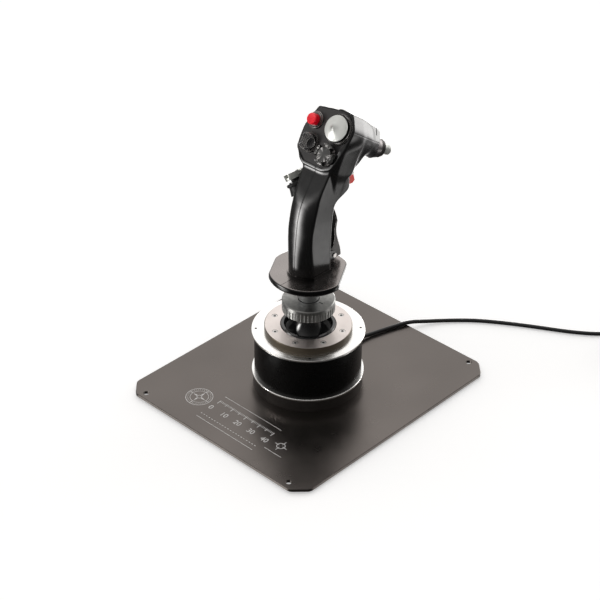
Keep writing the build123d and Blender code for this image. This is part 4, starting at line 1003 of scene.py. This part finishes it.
trim_bezel = [(6.0, 0), (14.3, 0), (14.3, 2.0), (13.4, 3.0), (12.6, 3.0), (11.9, 2.2), (6.0, 2.2)]
scoop_bezel = [(6.0, 0), (9.6, 0), (9.6, 1.2), (9.0, 1.8), (8.4, 1.8), (8.0, 1.4), (6.0, 1.4)]
bezels = union([ring("trim_bezel", trim_bezel, trim_at), ring("scoop_bezel", scoop_bezel, scoop_at)])
put_on(shade(bezels, 30), "stick", LOOK["bezel"], "face_black", "hat_bezels")
TICK_ANGLES = [math.radians(base + step) for base in (-62, -12, 72, 200, 250) for step in (-9, -5, 0, 5, 9)]
ticks = []
for count, turn in enumerate(TICK_ANGLES):
    length = 0.75 if count % 5 == 2 else 0.45
    ticks.append(prism("tick", box_outline(length, 0.45, 13.0, 0), spun(trim_at, turn), 2.9, 3.04))
bezel_ticks = union(ticks)
bezel_ticks.name = "trim_bezel_ticks"
put_on(bezel_ticks, "stick", LOOK["print"], "face_black")

# thin black discs in the flange screws' sockets: painted shade in the recesses
FLANGE_SCREW_R = 34.0
FLANGE_TOP = 64.5
SOCKET_R = 1.25
sockets = []
for k in range(8):
    turn = spun(LEVEL, math.radians(22.5 + 45 * k))
    outline = circle(SOCKET_R, FLANGE_SCREW_R, 0, 24)
    sockets.append(prism("socket", outline, turn, FLANGE_TOP - 0.5, FLANGE_TOP - 0.16))
socket_shade_discs = union(sockets)
socket_shade_discs.name = "flange_screw_socket_shade"
put_on(socket_shade_discs, "base", LOOK["socket"], "screw_steel")

# the print on the plate: a compass ring, rules, a scale with its numbers, and a circle with a crosshair
PRINT_TOP = 0.05
PRINT_SINK = -0.02
marks = []


def mark(outline, at=LEVEL):
    """One thin mark of the print on the plate's top."""
    marks.append(prism("mark", outline, at, PRINT_SINK, PRINT_TOP))


def mark_ring(radius, width, x, y):
    """A thin printed circle."""
    outer = radius + width
    profile = [(radius, PRINT_SINK), (outer, PRINT_SINK), (outer, PRINT_TOP), (radius, PRINT_TOP)]
    marks.append(ring("mark", profile, moved(LEVEL, x, y)))


AXIS_BACK = -AXIS_POINT.y / MM
COMPASS = (-53.5, -95.0 + AXIS_BACK)
for radius, width in ((12.6, 0.5), (8.6, 0.4), (2.0, 0.5)):
    mark_ring(radius, width, *COMPASS)
for k in range(36):
    spoke = spun(moved(LEVEL, *COMPASS), math.radians(10 * k))
    long = k % 9 == 0
    mark(box_outline(2.8 if long else 1.4, 0.7 if long else 0.35, 10.6 if long else 11.0, 0), spoke)
for k in range(4):
    spoke = spun(moved(LEVEL, *COMPASS), math.radians(90 * k))
    mark([(3.0, -0.9), (8.0, 0), (3.0, 0.9)], spoke)
for y, start, end in ((-78.0, -36.0, 38.0), (-116.5, -34.5, 38.5), (-106.2, 44.0, 65.0)):
    mark(box_outline(end - start, 0.45, (start + end) / 2, y + AXIS_BACK))
SCALE_START, SCALE_STEP, SCALE_COUNT = -34.0, 1.75, 41
for k in range(SCALE_COUNT):
    tall = 5.4 if k % 10 == 0 else 3.8 if k % 5 == 0 else 2.4
    middle = (SCALE_START + SCALE_STEP * k, -85.0 - tall / 2 + AXIS_BACK)
    mark(box_outline(0.5 if k % 5 else 0.8, tall, *middle))
for k in range(SCALE_COUNT // 2 + 1):
    mark(box_outline(1.5, 0.7, SCALE_START + 2 * SCALE_STEP * k, -110.5 + AXIS_BACK))
CROSS = (53.5, -94.5 + AXIS_BACK)
mark_ring(3.6, 0.6, *CROSS)
for k in range(4):
    spoke = spun(moved(LEVEL, *CROSS), math.radians(90 * k))
    mark(box_outline(5.0, 0.6, 4.6, 0), spoke)
for k in range(5):
    figures = bpy.data.curves.new("figures", "FONT")
    figures.body = str(10 * k)
    figures.size = 8.2 * MM
    figures.extrude = PRINT_TOP / 2 * MM
    figures.align_x = "CENTER"
    label = bpy.data.objects.new("figures", figures)
    scene.collection.objects.link(label)
    label.location = LEVEL @ Vector((SCALE_START + 10 * SCALE_STEP * k, -101.0 + AXIS_BACK, PRINT_TOP / 2))
    bpy.context.view_layer.update()
    shape = bpy.data.meshes.new_from_object(label.evaluated_get(bpy.context.evaluated_depsgraph_get()))
    shape.transform(label.matrix_world)
    bpy.data.objects.remove(label)
    digits = bpy.data.objects.new("digits", shape)
    scene.collection.objects.link(digits)
    marks.append(digits)
all_marks = bmesh.new()
for piece in marks:
    all_marks.from_mesh(piece.data)
    bpy.data.objects.remove(piece)
plate_print = as_object(all_marks, "plate_print")
put_on(plate_print, "base", LOOK["print"], "plate_metal")

# ------------------------------------------------------------------ CAD nodes that keep their shape
NODE_LOOKS = {
    "plate": "base_plate",
    "pad": "plate_feet",
    "housing": "base_housing",
    "skirt": "base_skirt",
    "bright": "trim_band top_cover",
    "warm": "gimbal_flange",
    "socket": "cover_screws",
    "screw": "flange_screws housing_bolts board_screws shell_screws lever_pins",
    "collar": "lock_collar",
    "spigot": "grip_spigot",
    "alloy": "gimbal_pedestal gimbal_cross stem spring_seat",
    "bronze": "pedestal_bushes ear_bushes",
    "spring": "centring_spring trigger_spring paddle_spring",
    "magnet": "sensor_magnets",
    "board": "sensor_board main_board grip_board",
    "ball": "ball_cup",
    "rest": "hand_rest",
    "grip": "side_hat_boss",
    "face": "face_plate",
    "bezel": "hat_bezels",
    "castle": "castle_hat",
    "scoop": "scoop_hat",
    "side_hat": "side_hat",
    "nut": "button_nuts",
    "red": "red_button",
    "trigger": "trigger",
    "tip": "tip_button",
    "paddle": "paddle",
    "switch": "hat_switches microswitches stem_socket grip_plug side_hat_ring side_hat_plunger",
    "white": "trim_hat_ring castle_hat_ring scoop_hat_ring",
    "cord": "cable_gland usb_cord cord_coil usb_plug",
    "plug_metal": "plug_shell",
    "trim_hat": "trim_hat",
}
for look, names in NODE_LOOKS.items():
    for name in names.split():
        node = NODES[name]
        if not node.material_slots:
            node.data.materials.append(LOOK[look])
        for place in node.material_slots:
            place.material = LOOK[look]

# ------------------------------------------------------------------ floor and light
FLOOR_HALF = 6
FLOOR_DROP = 0.0002
FLOOR_GLOW = 0.40
AMBIENT = 0.05

floor_mesh = bpy.data.meshes.new("floor")
corners = box_outline(2 * FLOOR_HALF, 2 * FLOOR_HALF)
floor_mesh.from_pydata([(x, y, 0) for x, y in corners], [], [(0, 1, 2, 3)])
floor = bpy.data.objects.new("floor", floor_mesh)
scene.collection.objects.link(floor)
floor.location.z = -FLOOR_DROP
floor_look = finish("floor_pale", (0.90, 0.90, 0.90), 0.9, 0, (3, 0.01), (50, 0.001))
floor_shader = floor_look.node_tree.nodes["Principled BSDF"]
floor_shader.inputs["Specular IOR Level"].default_value = 0
floor_shader.inputs["Emission Color"].default_value = (1, 1, 1, 1)
floor_shader.inputs["Emission Strength"].default_value = FLOOR_GLOW
floor_mesh.materials.append(floor_look)
floor.visible_glossy = False

world = bpy.data.worlds.new("studio")
scene.world = world
world.use_nodes = True
sky = world.node_tree
background = sky.nodes["Background"]
heading = add_node(sky, "ShaderNodeTexCoord").outputs["Generated"]


def soft_box(total, direction, sharpness, strength):
    """Adds a soft light in a direction: strength in the middle, falling off faster with more sharpness."""
    dot = add_node(sky, "ShaderNodeVectorMath", operation="DOT_PRODUCT")
    dot.inputs[1].default_value = Vector(direction).normalized()
    sky.links.new(heading, dot.inputs[0])
    fall = add_node(sky, "ShaderNodeMath", operation="MULTIPLY_ADD")
    fall.inputs[1].default_value = sharpness
    fall.inputs[2].default_value = -sharpness
    sky.links.new(dot.outputs["Value"], fall.inputs[0])
    glow = add_node(sky, "ShaderNodeMath", operation="EXPONENT")
    sky.links.new(fall.outputs[0], glow.inputs[0])
    add = add_node(sky, "ShaderNodeMath", operation="MULTIPLY_ADD")
    add.inputs[1].default_value = strength
    sky.links.new(glow.outputs[0], add.inputs[0])
    if total is None:
        add.inputs[2].default_value = AMBIENT
    else:
        sky.links.new(total, add.inputs[2])
    return add.outputs[0]


# direction, sharpness, strength
SOFT_BOXES = [
    ((-0.45, 0.55, 0.70), 2.4, 1.25),
    ((0.20, 0.975, -0.08), 22, 7.0),
    ((-0.57, 0.74, -0.35), 26, 7.0),
    ((-0.50, -0.72, -0.48), 60, 6.0),
    ((-0.55, -0.80, -0.25), 60, 15.0),
    ((-0.57, -0.82, -0.02), 70, 13.0),
    ((-0.56, -0.81, 0.15), 110, 5.0),
    ((0.571, 0.62, -0.54), 70, 2.0),
    ((-0.2, -0.75, 0.75), 5, 0.45),
]
light = None
for direction, sharpness, strength in SOFT_BOXES:
    light = soft_box(light, direction, sharpness, strength)
sky.links.new(light, background.inputs["Strength"])
background.inputs["Color"].default_value = (1, 0.985, 0.97, 1)
world.cycles.sampling_method = "AUTOMATIC"
scene.view_settings.view_transform = "Standard"

# ------------------------------------------------------------------ last update
bpy.context.view_layer.update()
